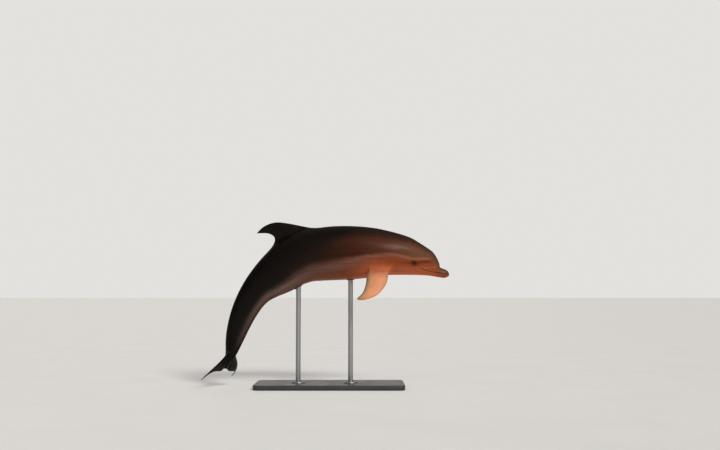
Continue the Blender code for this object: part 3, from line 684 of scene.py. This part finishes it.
# Each eyelid follows the eyeball, a lid's thickness over it; inside the opening the skin turns
# under the ball, and folds run round above and below.
eye_marks = np.zeros(len(points))
eye_shade = np.zeros(len(points))
for middle, look, ahead, above_eye in eyes.values():
    from_eye = points - middle
    some = np.flatnonzero((np.linalg.norm(from_eye, axis=1) < 0.075) & (from_eye @ look > 0))
    forward, upward, out = (from_eye[some] @ way for way in (ahead, above_eye, look))
    reach = np.hypot(forward, upward)
    ball = np.sqrt(np.maximum(EYE_RADIUS**2 - reach**2, 0))
    ball = np.where(reach < EYE_RADIUS, ball, 3 * (EYE_RADIUS - reach))
    tall = np.where(upward > 0, EYE_OPENING[1], EYE_OPENING[2])
    ring = ((np.abs(forward) / EYE_OPENING[0]) ** 1.75 + (np.abs(upward) / tall) ** 1.75) ** (1 / 1.75)
    lid = ball + LID_THICKNESS * (1 - 0.35 * rise(ring, 1.1, 1.6))
    high = 0.5 * (lid + out + np.sqrt((lid - out) ** 2 + LID_BLEND**2)) - LID_BLEND / 4
    high = np.where(reach < 0.03, high, out)
    high = out + (high - out) * (1 - rise(reach, 0.018, 0.028))
    tilt = upward / (reach + 1e-6)
    round_eye = np.arctan2(upward, forward)
    wavy = ring + 0.07 * np.sin(2 * round_eye + 0.6) + 0.05 * np.sin(5 * round_eye)
    folds = 0.0009 * hump(ring - 1.17, 0.16)
    crease = hump(wavy - np.where(upward > 0, 1.66, 1.80), 0.12) * np.abs(tilt) ** 0.7
    folds -= (0.0009 + 0.0005 * tilt) * crease
    folds += 0.0007 * hump(wavy - 2.10, 0.26) * np.abs(tilt)
    folds -= 0.0006 * hump(wavy - 2.55, 0.15) * rise(-tilt, 0.1, 0.8)
    folds -= 0.0004 * hump(wavy - 2.70, 0.16) * rise(tilt, 0.3, 0.9)
    folds -= 0.0003 * hump(wavy - 3.4, 0.2) * rise(-tilt, 0.3, 0.9)
    corner = hump(upward + 0.06 * forward, 0.0016) * rise(np.abs(forward), 0.011, 0.015)
    corner *= 1 - rise(np.abs(forward), 0.022, 0.032)
    folds -= 0.0007 * corner
    inside = 1 - rise(ring, 0.97, 1.07)
    settled = (high + folds) * (1 - inside) + (ball - 0.0026) * inside
    settled += 0.0016 * hump(reach, 0.040) * (1 - inside)
    points[some] += look * (settled - out)[:, None]
    patch = 1 - rise(np.hypot(forward / 1.35, upward + 0.001), 0.013, 0.042)
    eye_marks[some] = np.maximum(eye_marks[some], patch)
    # painted shade inside the eye's opening, along the lid's crease and in the corners' slits
    dark = np.maximum(1 - rise(ring, 1.04, 1.24), 0.35 * hump(wavy - 1.72, 0.10) * np.abs(tilt))
    eye_shade[some] = np.maximum(eye_shade[some], np.maximum(dark, 0.8 * corner))
shade = np.maximum(shade, eye_shade)
move_points(skin.data, points)

# ---------------------------------------------------------------- the skin's colours
# Wet, satin skin over its whole length: a near-black back, dark tail and fins, brown-grey sides,
# a painted highlight streak low on the flank, and a warm pinkish underside, throat and flippers.
# Lines of the markings and the painted highlight: share, then height from the keel (0) to the ridge (1).
CAPE_LINE = (
    (0.00, 0.80), (0.03, 0.90), (0.06, 0.93), (0.12, 0.90), (0.21, 0.88), (0.30, 0.87), (0.36, 0.80),
    (0.41, 0.70), (0.46, 0.60), (0.52, 0.52), (0.60, 0.47), (0.70, 0.46), (0.80, 0.42), (0.88, 0.25),
    (0.93, -0.10), (1.00, -0.60),
)
SIDE_LINE = (
    (0.00, 0.35), (0.03, 0.50), (0.05, 0.62), (0.08, 0.63), (0.11, 0.54), (0.142, 0.47), (0.20, 0.47),
    (0.245, 0.43), (0.31, 0.37), (0.38, 0.34), (0.43, 0.31), (0.475, 0.29), (0.525, 0.25), (0.586, 0.22),
    (0.636, 0.21), (0.69, 0.20), (0.77, 0.18), (0.84, 0.05), (0.92, -0.4), (1.00, -0.6),
)
# a painted highlight along the lower flank, strongest on the tail stock: its height, then its strength
HIGHLIGHT_STREAK = (
    (0.00, 0.30), (0.20, 0.36), (0.35, 0.26), (0.42, 0.215), (0.48, 0.180), (0.54, 0.135), (0.60, 0.115),
    (0.65, 0.110), (0.70, 0.115), (0.76, 0.125), (1.00, 0.15),
)
HIGHLIGHT_STREAK_STRENGTH = (
    (0.00, 0.0), (0.22, 0.0), (0.34, 0.35), (0.46, 0.50), (0.54, 0.75), (0.62, 1.0), (0.69, 0.85),
    (0.76, 0.55), (0.86, 0.30), (0.94, 0.0), (1.00, 0.0),
)
# lines on the head: share, then height above the spine
DARK_LINE = (
    (0.05, 0.0300), (0.0688, 0.0250), (0.0947, 0.0162), (0.1265, 0.0042), (0.160, -0.0058), (0.185, -0.013),
)
PALE_LINE = (
    (0.03, 0.0140), (0.0509, 0.0095), (0.0701, 0.0034), (0.1026, -0.0050), (0.1348, -0.0150),
    (0.1674, -0.0250), (0.21, -0.0360),
)
UPPER_LINE = (
    (0.05, 0.0340), (0.063, 0.0345), (0.0775, 0.0335), (0.1106, 0.0243), (0.1422, 0.0130), (0.20, 0.0115),
)


def paint(*values):
    """A paint's colour from its red, green and blue, each 0 to 255."""
    return tuple(((c / 255 + 0.055) / 1.055) ** 2.4 if c > 10 else c / 255 / 12.92 for c in values) + (1,)


def near_line(line, width):
    """How near each point lies to a line on the head."""
    return hump((up - smooth(line, share)) * LENGTH, width)


near_head = 1 - rise(share, 0.17, 0.21)
dark_line = near_line(DARK_LINE, 0.0155) * rise(share, 0.058, 0.080) * near_head
dark_line *= 1 - 0.55 * rise(share, 0.130, 0.150) - 0.45 * rise(share, 0.155, 0.180)
pale_line = near_line(PALE_LINE, 0.0060) * rise(share, 0.040, 0.060) * (1 - rise(share, 0.185, 0.210))
upper_line = near_line(UPPER_LINE, 0.0085) * rise(share, 0.055, 0.080) * near_head
pale_line = np.maximum(pale_line, 0.35 * upper_line)
dark_marks = np.maximum(0.9 * dark_line, eye_marks)
# a painted highlight streak low on the flank
highlight_streak = hump(height - smooth(HIGHLIGHT_STREAK, share), 0.105) * smooth(HIGHLIGHT_STREAK_STRENGTH, share)
over_lines = [height - smooth(line, share) for line in (CAPE_LINE, SIDE_LINE)]
write(skin.data, "along", share)
write(skin.data, "height", height)
write(skin.data, "lines", np.stack([*over_lines, highlight_streak], axis=1))
# the markings, the painted shade of the folds, and the pale line
write(skin.data, "marks_and_shade", np.stack([dark_marks * body, shade, pale_line * body * (1 - dark_marks)], axis=1))


def feed(node, feeds):
    """Sets a node's inputs, each to a value or to another node's output."""
    for place, value in feeds:
        if isinstance(value, bpy.types.NodeSocket):
            node.id_data.links.new(value, node.inputs[place])
        else:
            node.inputs[place].default_value = value


def add_node(tree, kind, feeds=(), **settings):
    """Adds a shader node; feeds pairs an input with a value or with another node's output."""
    node = tree.nodes.new(kind)
    for name, value in settings.items():
        setattr(node, name, value)
    feed(node, feeds)
    return node


def new_material(name):
    """A material, with its node tree and its shader."""
    material = bpy.data.materials.new(name)
    material.use_nodes = True
    return material, material.node_tree, material.node_tree.nodes["Principled BSDF"]


def own_place(tree):
    """The place on the object itself."""
    return add_node(tree, "ShaderNodeTexCoord").outputs["Object"]


def kept(tree, name, output="Fac"):
    """What the mesh keeps at its points under a name."""
    return add_node(tree, "ShaderNodeAttribute", attribute_name=name).outputs[output]


def parts(vector):
    """The three parts of a vector."""
    return add_node(vector.id_data, "ShaderNodeSeparateXYZ", [(0, vector)]).outputs


def fade(value, low, high):
    """0 where value is at low, 1 where it is at high, smooth between."""
    feeds = [("Value", value), ("From Min", low), ("From Max", high)]
    node = add_node(value.id_data, "ShaderNodeMapRange", feeds, interpolation_type="SMOOTHSTEP")
    return node.outputs["Result"]


def sums(operation, one, two=0.0):
    """One step of arithmetic."""
    return add_node(one.id_data, "ShaderNodeMath", [(0, one), (1, two)], operation=operation).outputs[0]


def product(value, *others):
    """All the values multiplied together."""
    for other in others:
        value = sums("MULTIPLY", value, other)
    return value


def over(amount, under, upper, blend_type="MIX"):
    """One colour laid over another by an amount."""
    feeds = [(0, amount), (6, under), (7, upper)]
    return add_node(under.id_data, "ShaderNodeMix", feeds, data_type="RGBA", blend_type=blend_type).outputs[2]


def graded(value, *stops):
    """A colour that changes along a value, through stops of (value, red, green, blue), each 0 to 1."""
    node = add_node(value.id_data, "ShaderNodeValToRGB", [(0, value)])
    steps = node.color_ramp.elements
    for _ in stops[2:]:
        steps.new(0.5)
    for step, stop in zip(steps, stops):
        step.position = stop[0]
    for step, stop in zip(steps, stops):
        step.color = (*stop[1:4], 1)
    return node.outputs["Color"]


def painted(value, *stops):
    """The same through stops of (value, red, green, blue) paints, each 0 to 255."""
    return graded(value, *((stop[0], *paint(*stop[1:])) for stop in stops))


def greys(value, *stops):
    """The same through stops of (value, grey), each 0 to 1."""
    return graded(value, *((at, grey, grey, grey) for at, grey in stops))


def clouds(place, scale, detail=4.0, roughness=0.55, stretch=None):
    """Soft random patches, 0 to 1."""
    if stretch:
        feeds = [("Vector", place), ("Scale", stretch)]
        place = add_node(place.id_data, "ShaderNodeMapping", feeds).outputs[0]
    feeds = [("Vector", place), ("Scale", scale), ("Detail", detail), ("Roughness", roughness)]
    return add_node(place.id_data, "ShaderNodeTexNoise", feeds).outputs["Fac"]


def relief(height, strength, distance, *below):
    """Fine relief for a shader's normal, on top of any relief below it."""
    feeds = [("Height", height), ("Strength", strength), ("Distance", distance)]
    feeds += [("Normal", normal) for normal in below]
    return add_node(height.id_data, "ShaderNodeBump", feeds).outputs[0]


wet_skin, tree, shader = new_material("wet_skin")
place = own_place(tree)
along, tall, chord = (kept(tree, name) for name in ("along", "height", "chord"))
over_cape, over_side, on_highlight_streak = parts(kept(tree, "lines", "Vector"))
on_dark, fold_shade, on_pale = parts(kept(tree, "marks_and_shade", "Vector"))
out_dorsal, out_flipper, out_fluke = parts(kept(tree, "fins", "Vector"))
mottle = clouds(place, 16.0, 6.0, 0.62)
lengthwise = add_node(tree, "ShaderNodeCombineXYZ", [(0, along), (1, tall)]).outputs[0]
sway = product(sums("SUBTRACT", clouds(place, 3.2, 3.0), 0.5), 0.16)

back = painted(
    along, (0.00, 80, 52, 38), (0.10, 56, 36, 26), (0.22, 32, 19, 13), (0.36, 15, 10, 7), (0.70, 11, 9, 9),
    (1.00, 11, 10, 13),
)
# the sides; towards the head their lighter paint over the melon and cheeks is partly a painted highlight
sides = painted(
    along, (0.00, 118, 76, 56), (0.06, 104, 66, 48), (0.14, 100, 62, 46), (0.24, 76, 39, 26),
    (0.34, 55, 26, 15), (0.46, 29, 15, 9), (0.62, 18, 12, 9), (0.80, 13, 11, 12), (1.00, 10, 9, 13),
)
low_sides = painted(
    along, (0.00, 136, 70, 38), (0.08, 134, 66, 34), (0.16, 132, 62, 31), (0.26, 136, 69, 40),
    (0.34, 110, 53, 32), (0.46, 80, 44, 31), (0.58, 56, 38, 32), (0.70, 30, 24, 24), (0.80, 16, 14, 16),
    (1.00, 12, 11, 15),
)
side_edge = sums("ADD", over_side, sway)
colour = over(fade(side_edge, 0.09, -0.10), sides, low_sides)
# the keel, then the throat between the flippers, the paler seam along the side, the head's pale line
low = product(fade(tall, 0.22, 0.02), fade(along, 0.66, 0.42), 0.55)
colour = over(low, colour, paint(160, 90, 60))
# the throat: its own pale colour, painted paler still where it faces down, a painted glow from below
throat = product(fade(tall, 0.34, 0.08), fade(along, 0.38, 0.24), fade(out_flipper, 0.10, 0.0))
colour = over(product(throat, fade(along, 0.0, 0.11), 0.92), colour, paint(196, 100, 62))
seam = product(fade(sums("ABSOLUTE", side_edge), 0.08, 0.0), fade(along, 0.42, 0.30), fade(along, 0.04, 0.09))
colour = over(product(seam, 0.55), colour, paint(140, 92, 72))
colour = over(product(on_pale, 0.50), colour, paint(176, 106, 70))
# the dark back, the dark tail, and the painted highlight streak on them
colour = over(fade(sums("ADD", over_cape, sway), -0.16, 0.10), colour, back)
colour = over(product(fade(along, 0.66, 0.84), 0.9), colour, paint(11, 10, 12))
colour = over(product(on_highlight_streak, 0.85), colour, paint(122, 98, 88))

dark_fin = painted(chord, (0.0, 14, 11, 10), (0.5, 11, 9, 9), (1.0, 19, 16, 16))
colour = over(fade(sums("MAXIMUM", out_dorsal, out_fluke), 0.0, 0.14), colour, dark_fin)
flipper = painted(
    chord, (0.00, 148, 118, 90), (0.06, 188, 144, 108), (0.20, 217, 148, 110), (0.55, 219, 147, 109),
    (0.76, 202, 140, 98), (0.93, 148, 112, 78), (1.00, 104, 84, 64),
)
flipper = over(product(fade(out_flipper, 0.58, 0.94), 0.8), flipper, paint(112, 88, 66))
ragged = product(out_flipper, sums("ADD", product(sway, 4.0), 1.0))
colour = over(fade(ragged, 0.0, 0.22), colour, flipper)

colour = over(product(on_dark, 0.88), colour, paint(78, 30, 15))
streaks = clouds(lengthwise, 1.0, 4.0, 0.6, stretch=(4.5, 17.0, 1.0))
streaky = graded(streaks, (0.34, 0.62, 0.55, 0.52), (0.52, 0.96, 0.95, 0.94), (0.66, 1, 1, 1))
bare_body = fade(out_flipper, 0.2, 0.0)
colour = over(product(bare_body, 0.65), colour, streaky, "MULTIPLY")
blotches = graded(mottle, (0.30, 0.80, 0.79, 0.79), (0.55, 1, 1, 1))
colour = over(0.7, colour, blotches, "MULTIPLY")
spots = fade(clouds(place, 75.0, 2.0, 0.5), 0.60, 0.72)
freckles = product(spots, fade(tall, 0.50, 0.15), bare_body, 0.22)
colour = over(freckles, colour, paint(70, 40, 30))
# faint pale rakes, a few millimetres apart, left by other animals' teeth
slant = [("Vector", place), ("Rotation", (0.0, math.radians(24), 0.0))]
slanted = add_node(tree, "ShaderNodeMapping", slant).outputs[0]
furrows = clouds(slanted, 1.0, 1.0, 0.5, stretch=(7.0, 2.0, 150.0))
rakes = fade(sums("ABSOLUTE", sums("SUBTRACT", furrows, 0.5)), 0.016, 0.004)
rakes = product(rakes, fade(clouds(place, 4.3, 2.0), 0.56, 0.66), 0.08)
colour = over(rakes, colour, paint(112, 92, 84))
# painted shade, near-black, in the mouth, the crease before the melon, the blowhole, the ears, the belly's
# slits and the eyes' openings
colour = over(fade(fold_shade, 0.05, 0.95), colour, paint(26, 16, 14))
pores = relief(clouds(place, 140.0, 3.0), 0.25, 0.0006)
feed(shader, [
    ("Base Color", colour),
    ("Roughness", greys(mottle, (0.25, 0.35), (0.75, 0.54))),
    ("Specular IOR Level", 0.10),
    ("Specular Tint", (1.0, 0.74, 0.56, 1)),
    ("Coat Weight", 0.03),
    ("Coat Roughness", 0.16),
    ("Subsurface Weight", 0.06),
    ("Subsurface Radius", (0.012, 0.005, 0.003)),
    ("Normal", relief(mottle, 0.14, 0.004, pores)),
])
skin.data.materials.append(wet_skin)
skin.data.shade_smooth()
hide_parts(*flesh)
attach(skin, "root")

# ---------------------------------------------------------------- the eyes
# Each eye is a dark, wet globe of glass set under the lids, a little fuller over its pupil: a
# brown ring of fibres round a wide pupil, in a dark rim.
PUPIL = (0.0052, 0.0036)  # half its length and half its height
IRIS = 0.0092
PUPIL_RING = 0.43  # the pupil's edge, where the eye's middle is 0 and the iris's edge is 1
FULLER = 0.0003  # how much higher the globe stands over its pupil

dark_eye, tree, shader = new_material("dark_eye")
seen = kept(tree, "seen", "Vector")
outward = parts(seen)[2]
fibres = clouds(seen, 1.0, 3.0, 0.6, stretch=(9.0, 9.0, 1.2))
iris = painted(fibres, (0.30, 18, 9, 6), (0.52, 38, 20, 12), (0.72, 58, 33, 19))
ringed = greys(outward, (0.0, 0.0), (0.40, 0.0), (0.46, 1.0), (0.80, 1.0), (0.95, 0.1), (1.0, 0.0))
colour = over(1.0, iris, ringed, "MULTIPLY")
colour = over(fade(outward, 0.96, 1.0), colour, paint(22, 14, 13))
feed(shader, [
    ("Base Color", colour), ("Roughness", 0.10), ("Specular IOR Level", 0.05),
    ("Coat Weight", 0.35), ("Coat Roughness", 0.02),
])
for word, (middle, look, ahead, above_eye) in eyes.items():
    globe = bmesh.new()
    bmesh.ops.create_uvsphere(globe, u_segments=72, v_segments=48, radius=1.0)
    eye_mesh = bpy.data.meshes.new("eyeball_" + word)
    globe.to_mesh(eye_mesh)
    globe.free()
    ball = read(eye_mesh, "position")
    turn = np.stack([ahead, above_eye, look])
    off_axis = np.arccos(np.clip(ball[:, 2], -1, 1))
    radius = EYE_RADIUS - FULLER * rise(off_axis, 0.2, 0.75)
    move_points(eye_mesh, middle + (ball * radius[:, None]) @ turn)
    if np.linalg.det(turn) < 0:
        eye_mesh.flip_normals()
    forward, upward = ball[:, 0] * EYE_RADIUS, ball[:, 1] * EYE_RADIUS
    reach = np.hypot(forward, upward)
    pupil = np.hypot(forward / PUPIL[0], upward / PUPIL[1])
    past_pupil = np.clip((reach - PUPIL[1]) / (IRIS - PUPIL[1]), 0, 1)
    ring = np.where(pupil < 1, PUPIL_RING * pupil, PUPIL_RING + (1 - PUPIL_RING) * past_pupil)
    ring = np.where(ball[:, 2] > 0, ring, 1.0)
    round_eye = np.arctan2(upward, forward)
    write(eye_mesh, "seen", np.stack([np.cos(round_eye), np.sin(round_eye), ring], axis=1))
    eyeball = placed("eyeball_" + word, eye_mesh)
    eye_mesh.materials.append(dark_eye)
    eye_mesh.shade_smooth()
    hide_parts("eye_" + word)
    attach(eyeball, "root")

# ---------------------------------------------------------------- the stand's plinth
# A flat plinth of board, its edge routed with a shadow groove and rounded over, sprayed in dark
# satin paint. It stands on the floor and carries both rods.
low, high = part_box("stand_base")
PLINTH_CORNER = 0.060
# the edge's outline: how far in from the side, and the height
PLINTH_EDGE = (
    (0.0020, 0.0000), (0.0000, 0.0020), (0.0000, 0.0095), (0.0006, 0.0100), (0.0034, 0.0103),
    (0.0040, 0.0110), (0.0040, 0.0130), (0.0034, 0.0137), (0.0006, 0.0140), (0.0000, 0.0145),
    (0.0000, 0.0380), (0.0006, 0.0408), (0.0022, 0.0433), (0.0045, 0.0446), (0.0075, 0.0450),
    (0.0200, 0.0450),
)


def board_outline(half_length, half_width, corner, height):
    """The points of a rounded rectangle, at a height."""
    outline = []
    for quarter in range(4):
        sx, sy = ((1, 1), (-1, 1), (-1, -1), (1, -1))[quarter]
        for k in range(17):
            turn = math.radians(90 * quarter + 90 * k / 16)
            x = sx * (half_length - corner) + corner * math.cos(turn)
            y = sy * (half_width - corner) + corner * math.sin(turn)
            outline.append((x, y, height))
    return outline


def lofted(name, sections, material, closed=True):
    """A piece skinned over loops of points in turn, its two ends closed or left as they are."""
    piece = bmesh.new()
    loops = [[piece.verts.new(point) for point in section] for section in sections]
    for one, two in zip(loops, loops[1:]):
        for k in range(len(one)):
            after = (k + 1) % len(one)
            piece.faces.new((one[k], one[after], two[after], two[k]))
    if closed:
        piece.faces.new(loops[0][::-1])
        piece.faces.new(loops[-1])
    bmesh.ops.remove_doubles(piece, verts=piece.verts, dist=1e-6)
    bmesh.ops.recalc_face_normals(piece, faces=piece.faces)
    mesh = bpy.data.meshes.new(name)
    piece.to_mesh(mesh)
    piece.free()
    mesh.materials.append(material)
    mesh.shade_smooth()
    mesh.set_sharp_from_angle(angle=math.radians(38))
    return placed(name, mesh)


satin_paint, tree, shader = new_material("satin_paint")
place = own_place(tree)
orange_peel = clouds(place, 420.0, 2.0, 0.5)
dust = clouds(place, 9.0, 5.0, 0.65)
feed(shader, [
    ("Base Color", painted(dust, (0.30, 44, 44, 47), (0.60, 50, 50, 53), (0.80, 58, 58, 60))),
    ("Roughness", greys(dust, (0.30, 0.34), (0.75, 0.48))),
    ("Normal", relief(orange_peel, 0.12, 0.0005)),
])
sections = [
    board_outline(high.x - inset, high.y - inset, PLINTH_CORNER - min(inset, 0.02), up_edge)
    for inset, up_edge in PLINTH_EDGE
]
plinth = lofted("plinth", sections, satin_paint)
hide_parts("stand_base")
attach(plinth, "root")

# ---------------------------------------------------------------- the rods, their flanges and collars
# Two round bars of brushed steel run from the plinth up into the belly. Each stands in a turned
# flange held by four cap screws, and meets the skin in a soft black collar.

# the collar's section: how far out from the rod's axis, and how far below the skin
COLLAR = (
    (0.0222, 0.0010), (0.0240, 0.0050), (0.0275, 0.0068), (0.0320, 0.0060), (0.0355, 0.0030),
    (0.0362, -0.0030),
)
COLLAR_LIP = 0.004  # how far the collar's inner edge runs on upwards
# a flange's section over its rim, each with its share of the flange's height: how far in from the rim,
# then how far out from the rod
FLANGE_SHOULDER = ((0.0008, 0.58), (0.0030, 0.66))
FLANGE_NECK = ((0.0150, 0.76), (0.0090, 0.82), (0.0060, 0.92), (0.0040, 1.0), (0.0010, 1.0))
SCREW_RING, SCREW_RADIUS, SCREW_HEIGHT = 0.049, 0.0058, 0.0040  # the ring is the one they stand on
SOCKET_FLOOR = 0.0012  # its height over the screw's seat

brushed_steel, tree, shader = new_material("brushed_steel")
place = own_place(tree)
brushing = clouds(place, 1.0, 4.0, 0.7, stretch=(160.0, 160.0, 2400.0))
smears = clouds(place, 7.0, 4.0, 0.6)
feed(shader, [
    ("Base Color", graded(brushing, (0.25, 0.33, 0.33, 0.34), (0.75, 0.42, 0.42, 0.43))),
    ("Roughness", greys(smears, (0.30, 0.34), (0.75, 0.44))),
    ("Metallic", 1.0),
    ("Normal", relief(brushing, 0.03, 0.0003)),
])

soft_rubber, tree, shader = new_material("soft_rubber")
bloom = clouds(own_place(tree), 60.0, 4.0)
rubber = graded(bloom, (0.3, 0.010, 0.010, 0.011), (0.8, 0.022, 0.021, 0.021))
feed(shader, [("Base Color", rubber), ("Roughness", 0.62)])


def round_axis(x, y, radii, height):
    """Points round an upright axis, one at each radius."""
    step = 2 * math.pi / len(radii)
    return [(x + r * math.cos(step * k), y + r * math.sin(step * k), height) for k, r in enumerate(radii)]


def turned(name, x, outline, hollow=False):
    """A steel piece turned on a lathe round an upright axis at x, from (radius, height) steps."""
    steps = [round_axis(x, 0.0, [radius] * 72, height) for radius, height in outline]
    if hollow:
        steps.append(steps[0])
    return lofted(name, steps, brushed_steel, not hollow)


for word in ("front", "rear"):
    low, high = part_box("stand_rod_" + word)
    x, radius = (low.x + high.x) / 2, (high.x - low.x) / 2
    rod = turned("rod_" + word, x, ((radius - 0.001, low.z), (radius, low.z + 0.001), (radius, high.z)))
    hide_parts("stand_rod_" + word)
    low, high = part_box("stand_flange_" + word)
    outer, foot, thick = (high.x - low.x) / 2, low.z, high.z - low.z
    outline = [
        (radius + 0.0003, foot), (outer - 0.0004, foot), (outer, foot + 0.0004), (outer, foot + thick * 0.45),
        *((outer - inward, foot + thick * part) for inward, part in FLANGE_SHOULDER),
        *((radius + outward, foot + thick * part) for outward, part in FLANGE_NECK),
        (radius + 0.0003, foot + thick - 0.0007),
    ]
    flange = turned("flange_" + word, x, outline, hollow=True)
    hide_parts("stand_flange_" + word)
    screws = []
    seat = foot + thick * 0.68
    socket = [0.0030 + 0.0004 * (k % 2) for k in range(12)]
    for k in range(4):
        turn = math.radians(45 + 90 * k)
        head_at = (x + SCREW_RING * math.cos(turn), SCREW_RING * math.sin(turn))
        screw_rings = [
            round_axis(*head_at, [SCREW_RADIUS] * 12, seat),
            round_axis(*head_at, [SCREW_RADIUS] * 12, seat + SCREW_HEIGHT - 0.0008),
            round_axis(*head_at, [SCREW_RADIUS - 0.0007] * 12, seat + SCREW_HEIGHT),
            round_axis(*head_at, socket, seat + SCREW_HEIGHT),
            round_axis(*head_at, socket, seat + SOCKET_FLOOR),
        ]
        screws.append(lofted("screw_%s_%d" % (word, k + 1), screw_rings, brushed_steel))
    collar_rings = [
        [
            (*spot[:2], skin.ray_cast(Vector(spot), Vector((0, 0, 1)))[1].z - drop)
            for spot in round_axis(x, 0.0, [out] * 48, 0.2)
        ]
        for out, drop in COLLAR
    ]
    collar_rings += [[(px, py, pz + COLLAR_LIP) for px, py, pz in collar_rings[0]], collar_rings[0]]
    collar = lofted("collar_" + word, collar_rings, soft_rubber, closed=False)
    for piece in (rod, flange, collar, *screws):
        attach(piece, "root")

# ---------------------------------------------------------------- the floor and the light
# A wide pale floor under a plain pale room. Broad banks of lamps light it evenly, from before,
# from behind and from the ceiling, and the floor itself glows faintly with painted light.
bpy.ops.mesh.primitive_plane_add(size=400, location=(0, 0, 0))
floor = bpy.context.object
floor.name = "floor"
pale_floor, tree, shader = new_material("pale_floor")
patches = clouds(own_place(tree), 1.3, 5.0)
# the floor glows faintly: painted light that brightens it and lights the animal's underside from below
feed(shader, [
    ("Base Color", graded(patches, (0.3, 0.76, 0.745, 0.72), (0.8, 0.81, 0.795, 0.77))),
    ("Roughness", 0.7),
    ("Emission Color", (1.0, 0.985, 0.96, 1)),
    ("Emission Strength", 0.18),
])
floor.data.materials.append(pale_floor)

room = bpy.data.worlds.new("room")
bpy.context.scene.world = room
room.use_nodes = True
# the room looks brighter than the light it gives
seen_by_camera = add_node(room.node_tree, "ShaderNodeLightPath").outputs["Is Camera Ray"]
feeds = [("Value", seen_by_camera), ("To Min", 0.11), ("To Max", 0.84)]
strength = add_node(room.node_tree, "ShaderNodeMapRange", feeds).outputs["Result"]
feed(room.node_tree.nodes["Background"], [("Color", (0.92, 0.90, 0.87, 1)), ("Strength", strength)])
bpy.context.scene.view_settings.view_transform = "Standard"
# each bank of lamps: name, where it shines from, strength, how many degrees wide, colour
LAMPS = (
    ("windows", (0.50, -0.80, 0.62), 2.0, 16, (1.0, 0.985, 0.96)),
    ("low_fill", (0.20, -1.00, 0.00), 0.95, 130, (1.0, 0.93, 0.85)),
    ("back_edge", (-0.30, 1.00, 0.03), 0.60, 60, (1.0, 0.95, 0.88)),
    ("ceiling", (0.05, -0.05, 1.00), 0.30, 100, (1.0, 0.99, 0.97)),
)
for name, spot, energy, wide, tint in LAMPS:
    lamp = placed(name, bpy.data.lights.new(name, "SUN"))
    lamp.data.energy = energy
    lamp.data.angle = math.radians(wide)
    lamp.data.color = tint
    lamp.rotation_euler = (-Vector(spot)).to_track_quat("-Z", "Y").to_euler()
